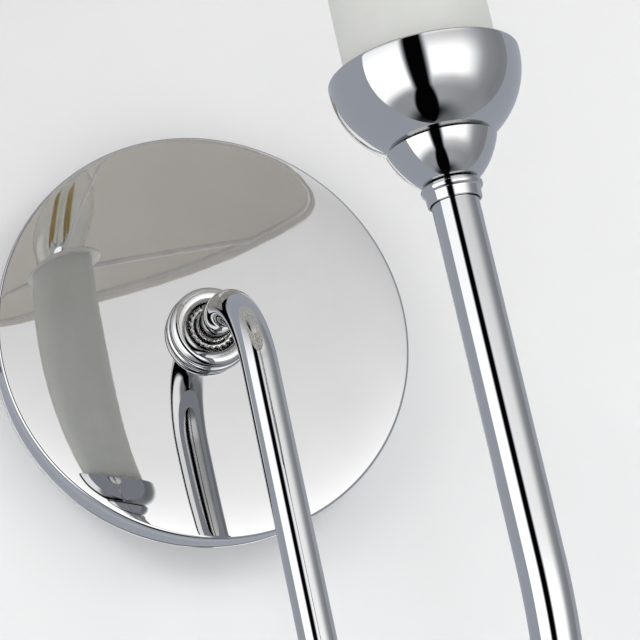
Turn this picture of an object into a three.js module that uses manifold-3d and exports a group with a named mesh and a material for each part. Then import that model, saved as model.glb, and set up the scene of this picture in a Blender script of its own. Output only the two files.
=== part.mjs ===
// Swivelling wall sconce: a round polished backplate with a turned hub at its centre, a slim tube that
// hooks out of the hub, hangs down, turns under in a wide U and rises again to a double-bowl candle cup,
// with a candle sleeve, a bulb and a slightly tapered drum shade.
// Millimetres. +X runs right along the wall, +Y runs into the wall, +Z is up.
// The origin is the middle of the backplate's back, on the wall and on the swivel's axis.
import * as THREE from 'three';
import { mergeVertices } from 'three/addons/utils/BufferGeometryUtils.js';
import Module from 'manifold-3d';

const wasm = await Module();
wasm.setup();

// ---- driving dimensions ----
const GAP = 0.3;                    // play left between pieces that touch
const FACETS = 32;                  // sides of the turned pieces
const SMALL_FACETS = 12;            // sides of screws and other small turned pieces

const PLATE_RADIUS = 57.7;          // a nominal 4 1/2 inch backplate, over its rounded edge
const PLATE_DEPTH = 13.8;           // wall to the middle of the polished face
const PLATE_EDGE_DROP = 0.6;        // how far the face falls back at its rim
const PLATE_EDGE_ROUND = 1;
const PLATE_WALL = 1;
const SHAFT_RADIUS = 4.8;           // hollow threaded shaft that the arm swivels on
const SHAFT_BORE = 3.25;
const RUNNING_CLEARANCE = 0.35;

const TUBE_RADIUS = 4.7625;         // 3/8 inch tube
const TUBE_BORE = 3.75;
const LEG_NEAR_Y = -53.5;           // axis of the leg beside the wall
const LEG_FAR_Y = -199;             // axis of the leg that carries the candle
const U_CENTRE_Z = -105.25;
const TUBE_TOP_Z = -33;

const HOOK_RADIUS = 22;             // bend of the tube's middle line in front of the hub
const HUB_BASE_RADIUS = 11.7;
const HUB_BASE_ROUND = 0.9;
const HUB_CUP = { backRadius: 10.2, beadRadius: 9.3, beadSize: 2.15 };

const BOWL_RADIUS = 19.3;
const BOWL_CENTRE_Z = -6.2;
const BOWL_HEIGHT_RADIUS = 18.2;
const BOWL_RIM_Z = -5.3;
const BOWL_WALL = 1;
const SLEEVE_RADIUS = 15.4;         // a candle sleeve for a medium socket, 4 inches tall
const SLEEVE_BORE = 14.8;
const SLEEVE_BOTTOM_Z = -15;
const SLEEVE_HEIGHT = 101.6;
const SLEEVE_TOP_Z = SLEEVE_BOTTOM_Z + SLEEVE_HEIGHT;
const BOWL_FLAT_Z = -22.6;          // the flat under the big bowl, which the small bowl meets
const WIRE_RADIUS = 0.95;
const SHADE = { bottomZ: 102, height: 150, bottomRadius: 111.5, topRadius: 108, wall: 0.8 };

// The stack behind and in front of the backplate's face, as [front y, back y] pairs.
const FACE_BACK_Y = -(PLATE_DEPTH - PLATE_WALL);
const REAR_WASHER = [FACE_BACK_Y + GAP, FACE_BACK_Y + GAP + 0.6];
const STOP_WASHER = [REAR_WASHER[1] + GAP, REAR_WASHER[1] + GAP + 1.2];
const SPRING_WASHER = [STOP_WASHER[1] + GAP, STOP_WASHER[1] + GAP + 1];
const LOCK_NUT = [SPRING_WASHER[1] + GAP, SPRING_WASHER[1] + GAP + 2.6];
const SHAFT_BACK_Y = LOCK_NUT[1] + 0.5;
const HUB_BASE = [-PLATE_DEPTH - GAP - 1.2, -PLATE_DEPTH - GAP];
const FRONT_WASHER = [HUB_BASE[0] - GAP - 0.4, HUB_BASE[0] - GAP];
const HUB_CUP_BACK_Y = FRONT_WASHER[0] - GAP;
const SHAFT_FRONT_Y = HUB_CUP_BACK_Y - 0.5;
const TUBE_START_Y = SHAFT_FRONT_Y - GAP;

// ---- colours and surfaces ----
const surface = (color, metalness, roughness, more = {}) =>
  new THREE.MeshStandardMaterial({ color, metalness, roughness, ...more });
const chrome = () => surface(0xd9dadc, 1, 0.05);
const steel = () => surface(0xa9abad, 1, 0.4);
const brass = () => surface(0xc9a45a, 1, 0.3);
const nylon = () => surface(0xe9e6dc, 0, 0.5);

// ---- building blocks ----
const group = new THREE.Group();

// Merges shared corners, drops slivers and turns the faces outwards.
function closed(geometry) {
  const plain = geometry.clone();
  plain.deleteAttribute('normal');
  plain.deleteAttribute('uv');
  const merged = mergeVertices(plain, 1e-4);
  const position = merged.getAttribute('position');
  const corner = (i) => new THREE.Vector3().fromBufferAttribute(position, i);
  const triangles = [];
  let volume = 0;
  for (let i = 0; i < merged.index.count; i += 3) {
    const [a, b, c] = [merged.index.getX(i), merged.index.getX(i + 1), merged.index.getX(i + 2)];
    if (a !== b && b !== c && c !== a) {
      triangles.push([a, b, c]);
      volume += corner(a).dot(corner(b).cross(corner(c)));
    }
  }
  merged.setIndex(triangles.flatMap(([a, b, c]) => (volume > 0 ? [a, b, c] : [a, c, b])));
  merged.computeVertexNormals();
  return merged;
}

function solid(geometry) {
  const shape = closed(geometry);
  return new wasm.Manifold(new wasm.Mesh({
    numProp: 3,
    vertProperties: new Float32Array(shape.getAttribute('position').array),
    triVerts: new Uint32Array(shape.index.array),
  }));
}

function fromSolid(manifold) {
  const mesh = manifold.getMesh();
  const geometry = new THREE.BufferGeometry();
  geometry.setAttribute('position', new THREE.BufferAttribute(new Float32Array(mesh.vertProperties), 3));
  geometry.setIndex(Array.from(mesh.triVerts));
  return closed(geometry);
}

function add(name, material, geometry) {
  const mesh = new THREE.Mesh(geometry, material);
  mesh.name = name;
  group.add(mesh);
  return mesh;
}

// A ring or plug turned about the Y axis from [radius, y] corners.
function turnedY(profile, facets = FACETS) {
  const points = profile.map(([radius, y]) => new THREE.Vector2(radius, y));
  if (profile[0][0] > 0 || profile.at(-1)[0] > 0) points.push(points[0].clone());
  return closed(new THREE.LatheGeometry(points, facets));
}

// The same, turned about the Z axis from [radius, z] corners.
function turnedZ(profile, facets = FACETS) {
  return turnedY(profile, facets).rotateX(Math.PI / 2);
}

const washerY = (bore, radius, [front, back], facets = FACETS) =>
  turnedY([[bore, front], [radius, front], [radius, back], [bore, back]], facets);

const washerZ = (bore, radius, [low, high], facets = FACETS) =>
  turnedZ([[bore, low], [radius, low], [radius, high], [bore, high]], facets);

// Points of an ellipse's arc in a turned profile: radius = a sin t, height = centre - b cos t.
function arc(centre, a, b, from, to, steps) {
  const points = [];
  for (let i = 0; i <= steps; i += 1) {
    const t = from + ((to - from) * i) / steps;
    points.push([a * Math.sin(t), centre - b * Math.cos(t)]);
  }
  return points;
}

// A round bead in a turned profile, swept from one angle to another, in degrees.
function bead(radius, height, size, from, to, steps, stretch = 1) {
  const points = [];
  for (let i = 0; i <= steps; i += 1) {
    const t = THREE.MathUtils.degToRad(from + ((to - from) * i) / steps);
    points.push([radius + size * Math.cos(t), height + stretch * size * Math.sin(t)]);
  }
  return points;
}

function circle(radius, sides) {
  const shape = new THREE.Shape();
  for (let i = 0; i < sides; i += 1) {
    const t = (i * 2 * Math.PI) / sides;
    if (i === 0) shape.moveTo(radius * Math.cos(t), radius * Math.sin(t));
    else shape.lineTo(radius * Math.cos(t), radius * Math.sin(t));
  }
  shape.closePath();
  return shape;
}

// A round section carried along a path, with an optional bore.
function swept(path, radius, bore, sides, steps) {
  const shape = circle(radius, sides);
  if (bore > 0) shape.holes.push(new THREE.Path(circle(bore, sides).getPoints()));
  return closed(new THREE.ExtrudeGeometry(shape, { steps, extrudePath: path, curveSegments: 1 }));
}

// A flat outline in X and Z given thickness along Y, its front at y = front.
function sheetY(shape, front, thickness) {
  const options = { depth: thickness, bevelEnabled: false, curveSegments: 8 };
  const geometry = new THREE.ExtrudeGeometry(shape, options);
  return geometry.rotateX(Math.PI / 2).translate(0, front + thickness, 0);
}

function hexNutY(acrossFlats, bore, [front, back]) {
  const outline = circle(acrossFlats / Math.sqrt(3), 6);
  outline.holes.push(new THREE.Path(circle(bore, 24).getPoints()));
  return closed(sheetY(outline, front, back - front));
}

const hexNutZ = (acrossFlats, bore, [low, high]) =>
  hexNutY(acrossFlats, bore, [low, high]).rotateX(Math.PI / 2);

const block = (x, y, z, at) => new THREE.BoxGeometry(x, y, z).translate(...at);

function roundSlot(x, halfLength, halfWidth) {
  const path = new THREE.Path();
  path.absarc(x + halfLength - halfWidth, 0, halfWidth, -Math.PI / 2, Math.PI / 2, false);
  path.absarc(x - halfLength + halfWidth, 0, halfWidth, Math.PI / 2, (3 * Math.PI) / 2, false);
  path.closePath();
  return path;
}

// ---- wall side: mounting strap and its screws ----
const STRAP = {
  thickness: 1.4, halfHeight: 9, halfLength: 54.6, earDepth: 9.6, earHalfHeight: 6,
  ringRadius: 17, ringBore: 12.5,
};
const BOX_SCREW_X = 44.45;          // half of the 3 1/2 inch spacing of a wall box's ears
const GROUND_SCREW_X = -25;
const SIDE_SCREW_Y = -6;

function mountingStrap() {
  const bar = new THREE.Shape();
  bar.moveTo(-STRAP.halfLength, -STRAP.halfHeight);
  bar.lineTo(STRAP.halfLength, -STRAP.halfHeight);
  bar.lineTo(STRAP.halfLength, STRAP.halfHeight);
  bar.lineTo(-STRAP.halfLength, STRAP.halfHeight);
  bar.closePath();
  bar.holes.push(roundSlot(41, 8, 2.6), roundSlot(-41, 8, 2.6));
  const groundHole = new THREE.Path();
  groundHole.absarc(GROUND_SCREW_X, 0, 2.3, 0, 2 * Math.PI, false);
  bar.holes.push(groundHole);
  const cutter = sheetY(circle(STRAP.ringBore, 32), -3, 6);
  let strap = solid(sheetY(bar, -STRAP.thickness, STRAP.thickness));
  strap = strap.add(solid(sheetY(circle(STRAP.ringRadius, 32), -STRAP.thickness, STRAP.thickness)));
  strap = strap.subtract(solid(cutter));
  for (const side of [-1, 1]) {
    const x = side * (STRAP.halfLength - STRAP.thickness / 2);
    const ear = block(STRAP.thickness, STRAP.earDepth, 2 * STRAP.earHalfHeight, [x, -STRAP.earDepth / 2, 0]);
    const hole = new THREE.CylinderGeometry(2.3, 2.3, 6, SMALL_FACETS).rotateZ(Math.PI / 2);
    strap = strap.add(solid(ear)).subtract(solid(hole.translate(x, SIDE_SCREW_Y, 0)));
  }
  return fromSolid(strap);
}
add('mounting_strap', steel(), mountingStrap());

// A pan-head screw along Y: its head's underside at y = seat, its head towards the room.
function panScrew(headRadius, headHeight, shankRadius, length, seat) {
  return turnedY([
    [0, seat - headHeight], [headRadius * 0.7, seat - headHeight], [headRadius, seat - headHeight * 0.55],
    [headRadius, seat], [shankRadius, seat], [shankRadius, seat + length - 1],
    [shankRadius * 0.5, seat + length], [0, seat + length],
  ], SMALL_FACETS);
}

const strapFront = -STRAP.thickness - GAP;
const boxScrew = () => panScrew(4, 2.6, 2, 15, strapFront);
add('box_screw_left', steel(), boxScrew()).position.x = -BOX_SCREW_X;
add('box_screw_right', steel(), boxScrew()).position.x = BOX_SCREW_X;

// A ring lug for the ground lead, with the barrel that is crimped on the lead pointing at the shaft.
const LUG = { thickness: 0.7, bore: 2.3, radius: 3.9, barrelStart: 3, barrelEnd: 8.5, barrelWidth: 3 };
const lugFront = strapFront - LUG.thickness;
function groundLug() {
  const ring = washerY(LUG.bore, LUG.radius, [lugFront, strapFront], 24);
  const length = LUG.barrelEnd - LUG.barrelStart;
  const middle = [LUG.barrelStart + length / 2, strapFront - LUG.thickness / 2, 0];
  const tongue = block(length, LUG.thickness, LUG.barrelWidth, middle);
  return fromSolid(solid(ring).add(solid(tongue)).translate([GROUND_SCREW_X, 0, 0]));
}
add('ground_lug', steel(), groundLug());
const groundScrew = panScrew(3.8, 2, 1.9, 4.4, lugFront - GAP);
add('ground_screw', surface(0x2f7d3a, 1, 0.4), groundScrew).position.x = GROUND_SCREW_X;

// ---- wall side: backplate ----
function backplate() {
  const drop = (radius) => PLATE_EDGE_DROP * (radius / PLATE_RADIUS) ** 8;
  const faceY = (radius) => -PLATE_DEPTH + drop(radius);
  const bore = SHAFT_RADIUS + RUNNING_CLEARANCE;
  const knee = 50;
  const face = [bore, 42, knee, PLATE_RADIUS - PLATE_EDGE_ROUND];
  const outside = face.map((radius) => [radius, faceY(radius)]);
  const edgeY = faceY(PLATE_RADIUS);
  outside.push([PLATE_RADIUS - PLATE_EDGE_ROUND * 0.3, edgeY + PLATE_EDGE_ROUND * 0.3]);
  outside.push([PLATE_RADIUS, edgeY + PLATE_EDGE_ROUND], [PLATE_RADIUS, 0]);
  const inside = [[PLATE_RADIUS - PLATE_WALL, 0], [PLATE_RADIUS - PLATE_WALL, edgeY + 1.4 * PLATE_WALL]];
  inside.push([knee, faceY(knee) + PLATE_WALL], [bore, FACE_BACK_Y]);
  let plate = solid(turnedY([...outside, ...inside], 48));
  for (const side of [-1, 1]) {
    const hole = new THREE.CylinderGeometry(2.4, 2.4, 6, SMALL_FACETS).rotateZ(Math.PI / 2);
    plate = plate.subtract(solid(hole.translate(side * (PLATE_RADIUS - PLATE_WALL / 2), SIDE_SCREW_Y, 0)));
  }
  return fromSolid(plate);
}
add('backplate', chrome(), backplate());

// A round-head screw along X that draws the plate's side wall onto the strap's ear.
const SIDE_SHANK = 5.6;
function sideScrew() {
  return turnedY([
    [0, 0], [2, 0], [2, SIDE_SHANK], [3.2, SIDE_SHANK],
    [3, SIDE_SHANK + 0.8], [2, SIDE_SHANK + 1.5], [0, SIDE_SHANK + 1.8],
  ], SMALL_FACETS).rotateZ(-Math.PI / 2);
}
const sideScrewX = PLATE_RADIUS + GAP - SIDE_SHANK;
const rightScrew = add('side_screw_right', chrome(), sideScrew());
rightScrew.position.set(sideScrewX, SIDE_SCREW_Y, 0);
const leftScrew = add('side_screw_left', chrome(), sideScrew());
leftScrew.position.set(-sideScrewX, SIDE_SCREW_Y, 0);
leftScrew.rotation.z = Math.PI;

// ---- swivel: fixed pieces ----
const STOP_PIN = { radius: 1.3, z: 9.6 };
add('stop_pin', steel(), turnedY([
  [0, FACE_BACK_Y + GAP], [STOP_PIN.radius, FACE_BACK_Y + GAP],
  [STOP_PIN.radius, SPRING_WASHER[0]], [0, SPRING_WASHER[0]],
], SMALL_FACETS)).position.z = STOP_PIN.z;

const runningBore = SHAFT_RADIUS + RUNNING_CLEARANCE;
const REAR_WASHER_RADIUS = 7.8;
add('hub_base_ring', chrome(), turnedY([
  [runningBore, HUB_BASE[0]],
  ...bead(HUB_BASE_RADIUS - HUB_BASE_ROUND, HUB_BASE[0] + HUB_BASE_ROUND, HUB_BASE_ROUND, -90, 0, 4),
  [HUB_BASE_RADIUS, HUB_BASE[1]],
  [runningBore, HUB_BASE[1]],
]));
add('rear_friction_washer', nylon(), washerY(runningBore, REAR_WASHER_RADIUS, REAR_WASHER));
add('front_friction_washer', nylon(), washerY(runningBore, HUB_CUP.backRadius, FRONT_WASHER));

// ---- swivel: pieces that turn with the arm ----
add('swivel_shaft', brass(), washerY(SHAFT_BORE, SHAFT_RADIUS, [SHAFT_FRONT_Y, SHAFT_BACK_Y]));

// The lower half of the stop washer stands out far enough to meet the pin a quarter turn either way.
const shaftHole = SHAFT_RADIUS + GAP;
function stopWasher() {
  const inner = 7.9;
  const outer = 11.4;
  const reach = THREE.MathUtils.degToRad(82);
  const outline = new THREE.Shape();
  const steps = 12;
  for (let i = 0; i <= steps; i += 1) {
    const t = -Math.PI / 2 - reach + (2 * reach * i) / steps;
    const point = [outer * Math.cos(t), outer * Math.sin(t)];
    if (i === 0) outline.moveTo(...point);
    else outline.lineTo(...point);
  }
  for (let i = 0; i <= steps; i += 1) {
    const t = -Math.PI / 2 + reach + ((2 * Math.PI - 2 * reach) * i) / steps;
    outline.lineTo(inner * Math.cos(t), inner * Math.sin(t));
  }
  outline.closePath();
  outline.holes.push(new THREE.Path(circle(shaftHole, 24).getPoints()));
  const [front, back] = STOP_WASHER;
  return closed(sheetY(outline, front, back - front));
}
add('stop_washer', steel(), stopWasher());

// Bowed, so that it presses the stack together: its rim stands back from its hole's edge.
const SPRING = { radius: 8.6, thickness: 0.5, rim: 0.6 };
add('spring_washer', steel(), turnedY([
  [shaftHole, SPRING_WASHER[0]], [shaftHole + SPRING.rim, SPRING_WASHER[0]],
  [SPRING.radius, SPRING_WASHER[1] - SPRING.thickness], [SPRING.radius, SPRING_WASHER[1]],
  [SPRING.radius - SPRING.rim, SPRING_WASHER[1]], [shaftHole, SPRING_WASHER[0] + SPRING.thickness],
]));
const LOCK_NUT_ACROSS_FLATS = 14.3;
add('lock_nut', brass(), hexNutY(LOCK_NUT_ACROSS_FLATS, shaftHole, LOCK_NUT));

// A back flange, a rolled bead and a hollow front whose floor the tube's lock ring stands in.
const hollow = [[8.1, 3.1], [7.3, 2.6], [6.9, 1.9], [6.7, 1.0], [6.1, 0.6], [runningBore, 0.5]];
add('hub_cup', chrome(), turnedY([
  [runningBore, HUB_CUP_BACK_Y], [HUB_CUP.backRadius, HUB_CUP_BACK_Y],
  ...bead(HUB_CUP.beadRadius, HUB_CUP_BACK_Y - 1.1, HUB_CUP.beadSize, 15, -90, 5),
  ...hollow.map(([radius, height]) => [radius, HUB_CUP_BACK_Y - height]),
]));
const LOCK_RING = { radius: 6.2, front: HUB_CUP_BACK_Y - 2.1, back: HUB_CUP_BACK_Y - 0.9 };
add('tube_lock_ring', chrome(), washerY(runningBore, LOCK_RING.radius, [LOCK_RING.front, LOCK_RING.back]));

// ---- arm ----
// The middle line of the arm, from a point on the swivel's axis to a height on the candle's axis.
// A lead beside it keeps the same distance across (along X) and outward (in the arm's plane).
function armPath(startY, endZ, across = 0, outward = 0) {
  const hookStartY = LEG_NEAR_Y + HOOK_RADIUS;
  const uRadius = (LEG_NEAR_Y - LEG_FAR_Y) / 2;
  const uMiddleY = (LEG_NEAR_Y + LEG_FAR_Y) / 2;
  const point = (y, z) => new THREE.Vector3(across, y, z);
  const bend = (centreY, centreZ, radius, from, to) => {
    const curve = new THREE.Curve();
    curve.getPoint = (t, target = new THREE.Vector3()) => {
      const angle = from + (to - from) * t;
      return target.set(across, centreY + radius * Math.cos(angle), centreZ + radius * Math.sin(angle));
    };
    return curve;
  };
  const path = new THREE.CurvePath();
  path.add(new THREE.LineCurve3(point(startY, outward), point(hookStartY, outward)));
  path.add(bend(hookStartY, -HOOK_RADIUS, HOOK_RADIUS + outward, Math.PI / 2, Math.PI));
  const nearY = LEG_NEAR_Y - outward;
  path.add(new THREE.LineCurve3(point(nearY, -HOOK_RADIUS), point(nearY, U_CENTRE_Z)));
  path.add(bend(uMiddleY, U_CENTRE_Z, uRadius - outward, 0, -Math.PI));
  const farY = LEG_FAR_Y + outward;
  path.add(new THREE.LineCurve3(point(farY, U_CENTRE_Z), point(farY, endZ)));
  return path;
}
add('arm_tube', chrome(), swept(armPath(TUBE_START_Y, TUBE_TOP_Z), TUBE_RADIUS, TUBE_BORE, 12, 52));

// ---- candle cup ----
const cup = new THREE.Group();
cup.position.y = LEG_FAR_Y;
group.add(cup);

function addCup(name, material, geometry) {
  const mesh = new THREE.Mesh(geometry, material);
  mesh.name = name;
  cup.add(mesh);
  return mesh;
}

const NIPPLE_RADIUS = 3.4;
const NIPPLE_BORE = 2.65;
const cupBore = NIPPLE_RADIUS + GAP;
const bowlFloorZ = BOWL_FLAT_Z + BOWL_WALL;
const CUP_NUT = [bowlFloorZ + GAP, bowlFloorZ + GAP + 2.6];
const LEG_FOOT = [CUP_NUT[1] + GAP, CUP_NUT[1] + GAP + 1.2];
const LEG_NUT = [LEG_FOOT[1] + GAP, LEG_FOOT[1] + GAP + 2.4];
const nippleTopZ = LEG_NUT[1] + 0.7;

// The angle at which an ellipse's arc in a turned profile reaches a height.
const arcAngle = (centre, b, height) => Math.acos((centre - height) / b);

// A bead that covers the tube's top: its skirt slips over the tube.
const NECK = { bottomZ: -34, beadZ: -31.1, beadSize: 1, radius: 5.2 };
const skirtBore = TUBE_RADIUS + GAP;
addCup('neck_ring', chrome(), turnedZ([
  [skirtBore, NECK.bottomZ], [NECK.radius + 0.3, NECK.bottomZ], [NECK.radius + 0.4, NECK.beadZ - 1.2],
  ...bead(NECK.radius, NECK.beadZ, NECK.beadSize, -60, 90, 4),
  [cupBore, NECK.beadZ + NECK.beadSize], [cupBore, TUBE_TOP_Z + GAP], [skirtBore, TUBE_TOP_Z + GAP],
]));

// Points of a bowl's elliptical wall from one height to another.
const bowlArc = ({ centre, a, b }, from, to, steps) =>
  arc(centre, a, b, arcAngle(centre, b, from), arcAngle(centre, b, to), steps);

const SMALL_BOWL = { centre: -14.4, a: 12.4, b: 17.4, low: -29.8, high: -22 };
function smallBowl() {
  const { low, high } = SMALL_BOWL;
  const floor = low + BOWL_WALL;
  const inner = { ...SMALL_BOWL, a: SMALL_BOWL.a - BOWL_WALL, b: SMALL_BOWL.b - BOWL_WALL };
  return turnedZ([
    [cupBore, low],
    ...bowlArc(SMALL_BOWL, low, high, 4),
    ...bowlArc(inner, high, floor, 3),
    [cupBore, floor],
  ]);
}
addCup('small_bowl', chrome(), smallBowl());

function bigBowl() {
  const lip = 0.2;
  const outer = { centre: BOWL_CENTRE_Z, a: BOWL_RADIUS, b: BOWL_HEIGHT_RADIUS };
  const inner = { ...outer, a: outer.a - BOWL_WALL, b: outer.b - BOWL_WALL };
  return turnedZ([
    [cupBore, BOWL_FLAT_Z],
    ...bowlArc(outer, BOWL_FLAT_Z, BOWL_CENTRE_Z, 6),
    [outer.a - lip, BOWL_RIM_Z], [inner.a + lip, BOWL_RIM_Z],
    ...bowlArc(inner, BOWL_CENTRE_Z, bowlFloorZ, 5),
    [cupBore, bowlFloorZ],
  ]);
}
addCup('big_bowl', chrome(), bigBowl());
const NIPPLE_BOTTOM_Z = -46;
const CUP_NUT_ACROSS_FLATS = 11;
addCup('cup_nipple', brass(), washerZ(NIPPLE_BORE, NIPPLE_RADIUS, [NIPPLE_BOTTOM_Z, nippleTopZ], 24));
addCup('cup_nut', brass(), hexNutZ(CUP_NUT_ACROSS_FLATS, cupBore, CUP_NUT));
addCup('socket_nut', brass(), hexNutZ(CUP_NUT_ACROSS_FLATS, cupBore, LEG_NUT));

// ---- socket ----
const SOCKET = { bottom: 44, top: 84.6, floor: 56, radius: 14.4, bore: 13.8 };

// A steel bracket: a foot on the nipple, one upright strip and a ring under the socket.
const LEG_STRIP = { x: 10.2, thickness: 1.2, width: 8 };
const LEG_RING = { bore: 6, radius: 12 };
function socketLeg() {
  const footWidth = 10;
  const footStart = -8.2;
  const footLength = LEG_STRIP.x + LEG_STRIP.thickness / 2 - footStart;
  const ringTop = SOCKET.bottom - GAP;
  const height = ringTop - LEG_FOOT[0];
  const footHeight = LEG_FOOT[1] - LEG_FOOT[0];
  const footMiddle = [footStart + footLength / 2, 0, LEG_FOOT[0] + footHeight / 2];
  const foot = block(footLength, footWidth, footHeight, footMiddle);
  const uprightMiddle = [LEG_STRIP.x, 0, LEG_FOOT[0] + height / 2];
  const upright = block(LEG_STRIP.thickness, LEG_STRIP.width, height, uprightMiddle);
  const ring = washerZ(LEG_RING.bore, LEG_RING.radius, [ringTop - LEG_STRIP.thickness, ringTop], 24);
  const hole = washerZ(0, cupBore, [LEG_FOOT[0] - 1, LEG_FOOT[1] + 1], 24);
  return fromSolid(solid(foot).add(solid(upright)).add(solid(ring)).subtract(solid(hole)));
}
addCup('socket_leg', steel(), socketLeg());

addCup('socket_body', surface(0x1d1a18, 0, 0.45), turnedZ([
  [0, SOCKET.bottom], [SOCKET.radius - 1, SOCKET.bottom], [SOCKET.radius, SOCKET.bottom + 1],
  [SOCKET.radius, SOCKET.top], [SOCKET.bore, SOCKET.top], [SOCKET.bore, SOCKET.floor], [0, SOCKET.floor],
]));
const shellRadius = SOCKET.bore - GAP;
const SHELL = { hole: 6, bore: shellRadius - 0.35, top: 83, floor: SOCKET.floor + GAP, sheet: 0.5 };
addCup('socket_screw_shell', brass(), turnedZ([
  [SHELL.hole, SHELL.floor], [shellRadius, SHELL.floor], [shellRadius, SHELL.top], [SHELL.bore, SHELL.top],
  [SHELL.bore, SHELL.floor + SHELL.sheet], [SHELL.hole, SHELL.floor + SHELL.sheet],
]));
const contactTopZ = SHELL.floor + 1.9;
addCup('socket_contact', brass(), turnedZ([
  [0, SHELL.floor], [4.5, SHELL.floor], [4.5, SHELL.floor + SHELL.sheet], [3, contactTopZ - 0.3],
  [0, contactTopZ],
], 24));

// ---- candle sleeve ----
addCup('candle_sleeve', surface(0xe9e7df, 0, 0.6),
  washerZ(SLEEVE_BORE, SLEEVE_RADIUS, [SLEEVE_BOTTOM_Z, SLEEVE_TOP_Z]));

// ---- bulb ----
const BULB = {
  baseRadius: 12.85, baseTopZ: 86, neckRadius: 12.1, neckBottomZ: 72, neckTopZ: 87,
  radius: 17.5, widestZ: 110, topZ: 161, wall: 0.8,
};
const TIP = { radius: 4.2, height: 1.6 };
const tipZ = contactTopZ + GAP;
addCup('bulb_contact', steel(), turnedZ([
  [0, tipZ], [TIP.radius * 0.6, tipZ], [TIP.radius, tipZ + TIP.height / 2],
  [TIP.radius, tipZ + TIP.height], [0, tipZ + TIP.height],
], 24));
const INSULATOR = { low: 5, high: 10.2, cone: 2.6, height: 3.4 };
const insulatorZ = tipZ + TIP.height + GAP;
addCup('bulb_insulator', surface(0x191919, 0, 0.25), turnedZ([
  [0, insulatorZ], [INSULATOR.low, insulatorZ], [INSULATOR.high, insulatorZ + INSULATOR.cone],
  [INSULATOR.high, insulatorZ + INSULATOR.height], [0, insulatorZ + INSULATOR.height],
], 24));
const baseZ = insulatorZ + INSULATOR.height + GAP;
const baseBore = BULB.neckRadius + GAP;
addCup('bulb_screw_base', surface(0xc9cacc, 1, 0.3), turnedZ([
  [9, baseZ], [11.4, baseZ], [BULB.baseRadius, baseZ + 1.6], [BULB.baseRadius, BULB.baseTopZ],
  [baseBore, BULB.baseTopZ], [baseBore, baseZ + 2], [11.2, baseZ + 0.6], [9, baseZ + 0.6],
]));

// The outside of the envelope: a straight neck, a swelling to the widest point, then a long taper to the tip.
function envelope(wall) {
  const neck = BULB.neckRadius - wall;
  const points = [[neck, BULB.neckBottomZ], [neck, BULB.neckTopZ]];
  const swell = 4;
  for (let i = 1; i <= swell; i += 1) {
    const t = i / swell;
    const ease = (1 - Math.cos(Math.PI * t)) / 2;
    const radius = BULB.neckRadius + (BULB.radius - BULB.neckRadius) * ease;
    points.push([radius - wall, BULB.neckTopZ + (BULB.widestZ - BULB.neckTopZ) * t]);
  }
  const taper = 7;
  const height = BULB.topZ - wall - BULB.widestZ;
  for (let i = 1; i < taper; i += 1) {
    const t = (i / taper) * (Math.PI / 2);
    points.push([(BULB.radius - wall) * Math.cos(t) ** 1.15, BULB.widestZ + height * Math.sin(t)]);
  }
  points.push([0, BULB.topZ - wall]);
  return points;
}
const glass = surface(0xf4f1e8, 0, 0.05, { transparent: true, opacity: 0.35 });
addCup('bulb_glass', glass, turnedZ([...envelope(0), ...envelope(BULB.wall).reverse()], 24));

// A flared glass foot, a tube on it and a thin rod that holds the filaments.
addCup('bulb_stem', surface(0xe8eef0, 0, 0.1), turnedZ([
  [0, 74], [9.5, 74], [9.5, 75], [4, 82], [3, 96], [1, 98], [1, 140], [0, 140.6],
], SMALL_FACETS));
const FILAMENT = { count: 4, radius: 0.9, length: 36, out: 6, bottomZ: 100 };
for (let i = 0; i < FILAMENT.count; i += 1) {
  const angle = ((i + 0.5) * 2 * Math.PI) / FILAMENT.count;
  const { radius, length, out, bottomZ } = FILAMENT;
  const shape = turnedZ([[0, 0], [radius, 0], [radius, length], [0, length]], 8);
  const rod = addCup(`bulb_filament_${i + 1}`, surface(0xf3d27a, 0, 0.5), shape);
  rod.position.set(out * Math.cos(angle), out * Math.sin(angle), bottomZ);
}

// ---- shade ----
// Everything here turns about the candle's axis: the fitter's ring only rests on the sleeve's top.
const slope = (SHADE.bottomRadius - SHADE.topRadius) / SHADE.height;
const shadeRadius = (z) => SHADE.bottomRadius - slope * (z - SHADE.bottomZ);
const shadeTopZ = SHADE.bottomZ + SHADE.height;
addCup('shade_cover', surface(0xe7e2d6, 0, 0.9), turnedZ([
  [shadeRadius(SHADE.bottomZ) - SHADE.wall, SHADE.bottomZ], [shadeRadius(SHADE.bottomZ), SHADE.bottomZ],
  [shadeRadius(shadeTopZ), shadeTopZ], [shadeRadius(shadeTopZ) - SHADE.wall, shadeTopZ],
], 48));

const RING_WIRE = 1.3;
const RING_INSET = 3;               // from the shade's edge to its ring's wire
const ringRadius = (z) => shadeRadius(z) - SHADE.wall - GAP - RING_WIRE;
const whiteWire = () => surface(0xf2efe8, 0, 0.4);
const wireRing = (z) => turnedZ(bead(ringRadius(z), z, RING_WIRE, 0, 300, 5), 48);
addCup('shade_top_ring', whiteWire(), wireRing(shadeTopZ - RING_INSET));

// The lower ring, three spokes and the small ring that slips over the socket, welded together.
const COLLAR = { bore: 13.2, radius: 19, low: SLEEVE_TOP_Z + GAP, height: 1.2 };
const SPOKES = 3;
const SPOKE_RADIUS = 1.1;
function shadeFitter() {
  const ringZ = SHADE.bottomZ + RING_INSET;
  let frame = solid(wireRing(ringZ));
  const collar = washerZ(COLLAR.bore, COLLAR.radius, [COLLAR.low, COLLAR.low + COLLAR.height], 24);
  frame = frame.add(solid(collar));
  const inner = new THREE.Vector3(COLLAR.radius - 1, 0, COLLAR.low + COLLAR.height / 2);
  const outer = new THREE.Vector3(ringRadius(ringZ), 0, ringZ);
  for (let i = 0; i < SPOKES; i += 1) {
    const spoke = swept(new THREE.LineCurve3(inner, outer), SPOKE_RADIUS, 0, 8, 1);
    frame = frame.add(solid(spoke.rotateZ((i * 2 * Math.PI) / SPOKES + Math.PI / 2)));
  }
  return fromSolid(frame);
}
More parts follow.
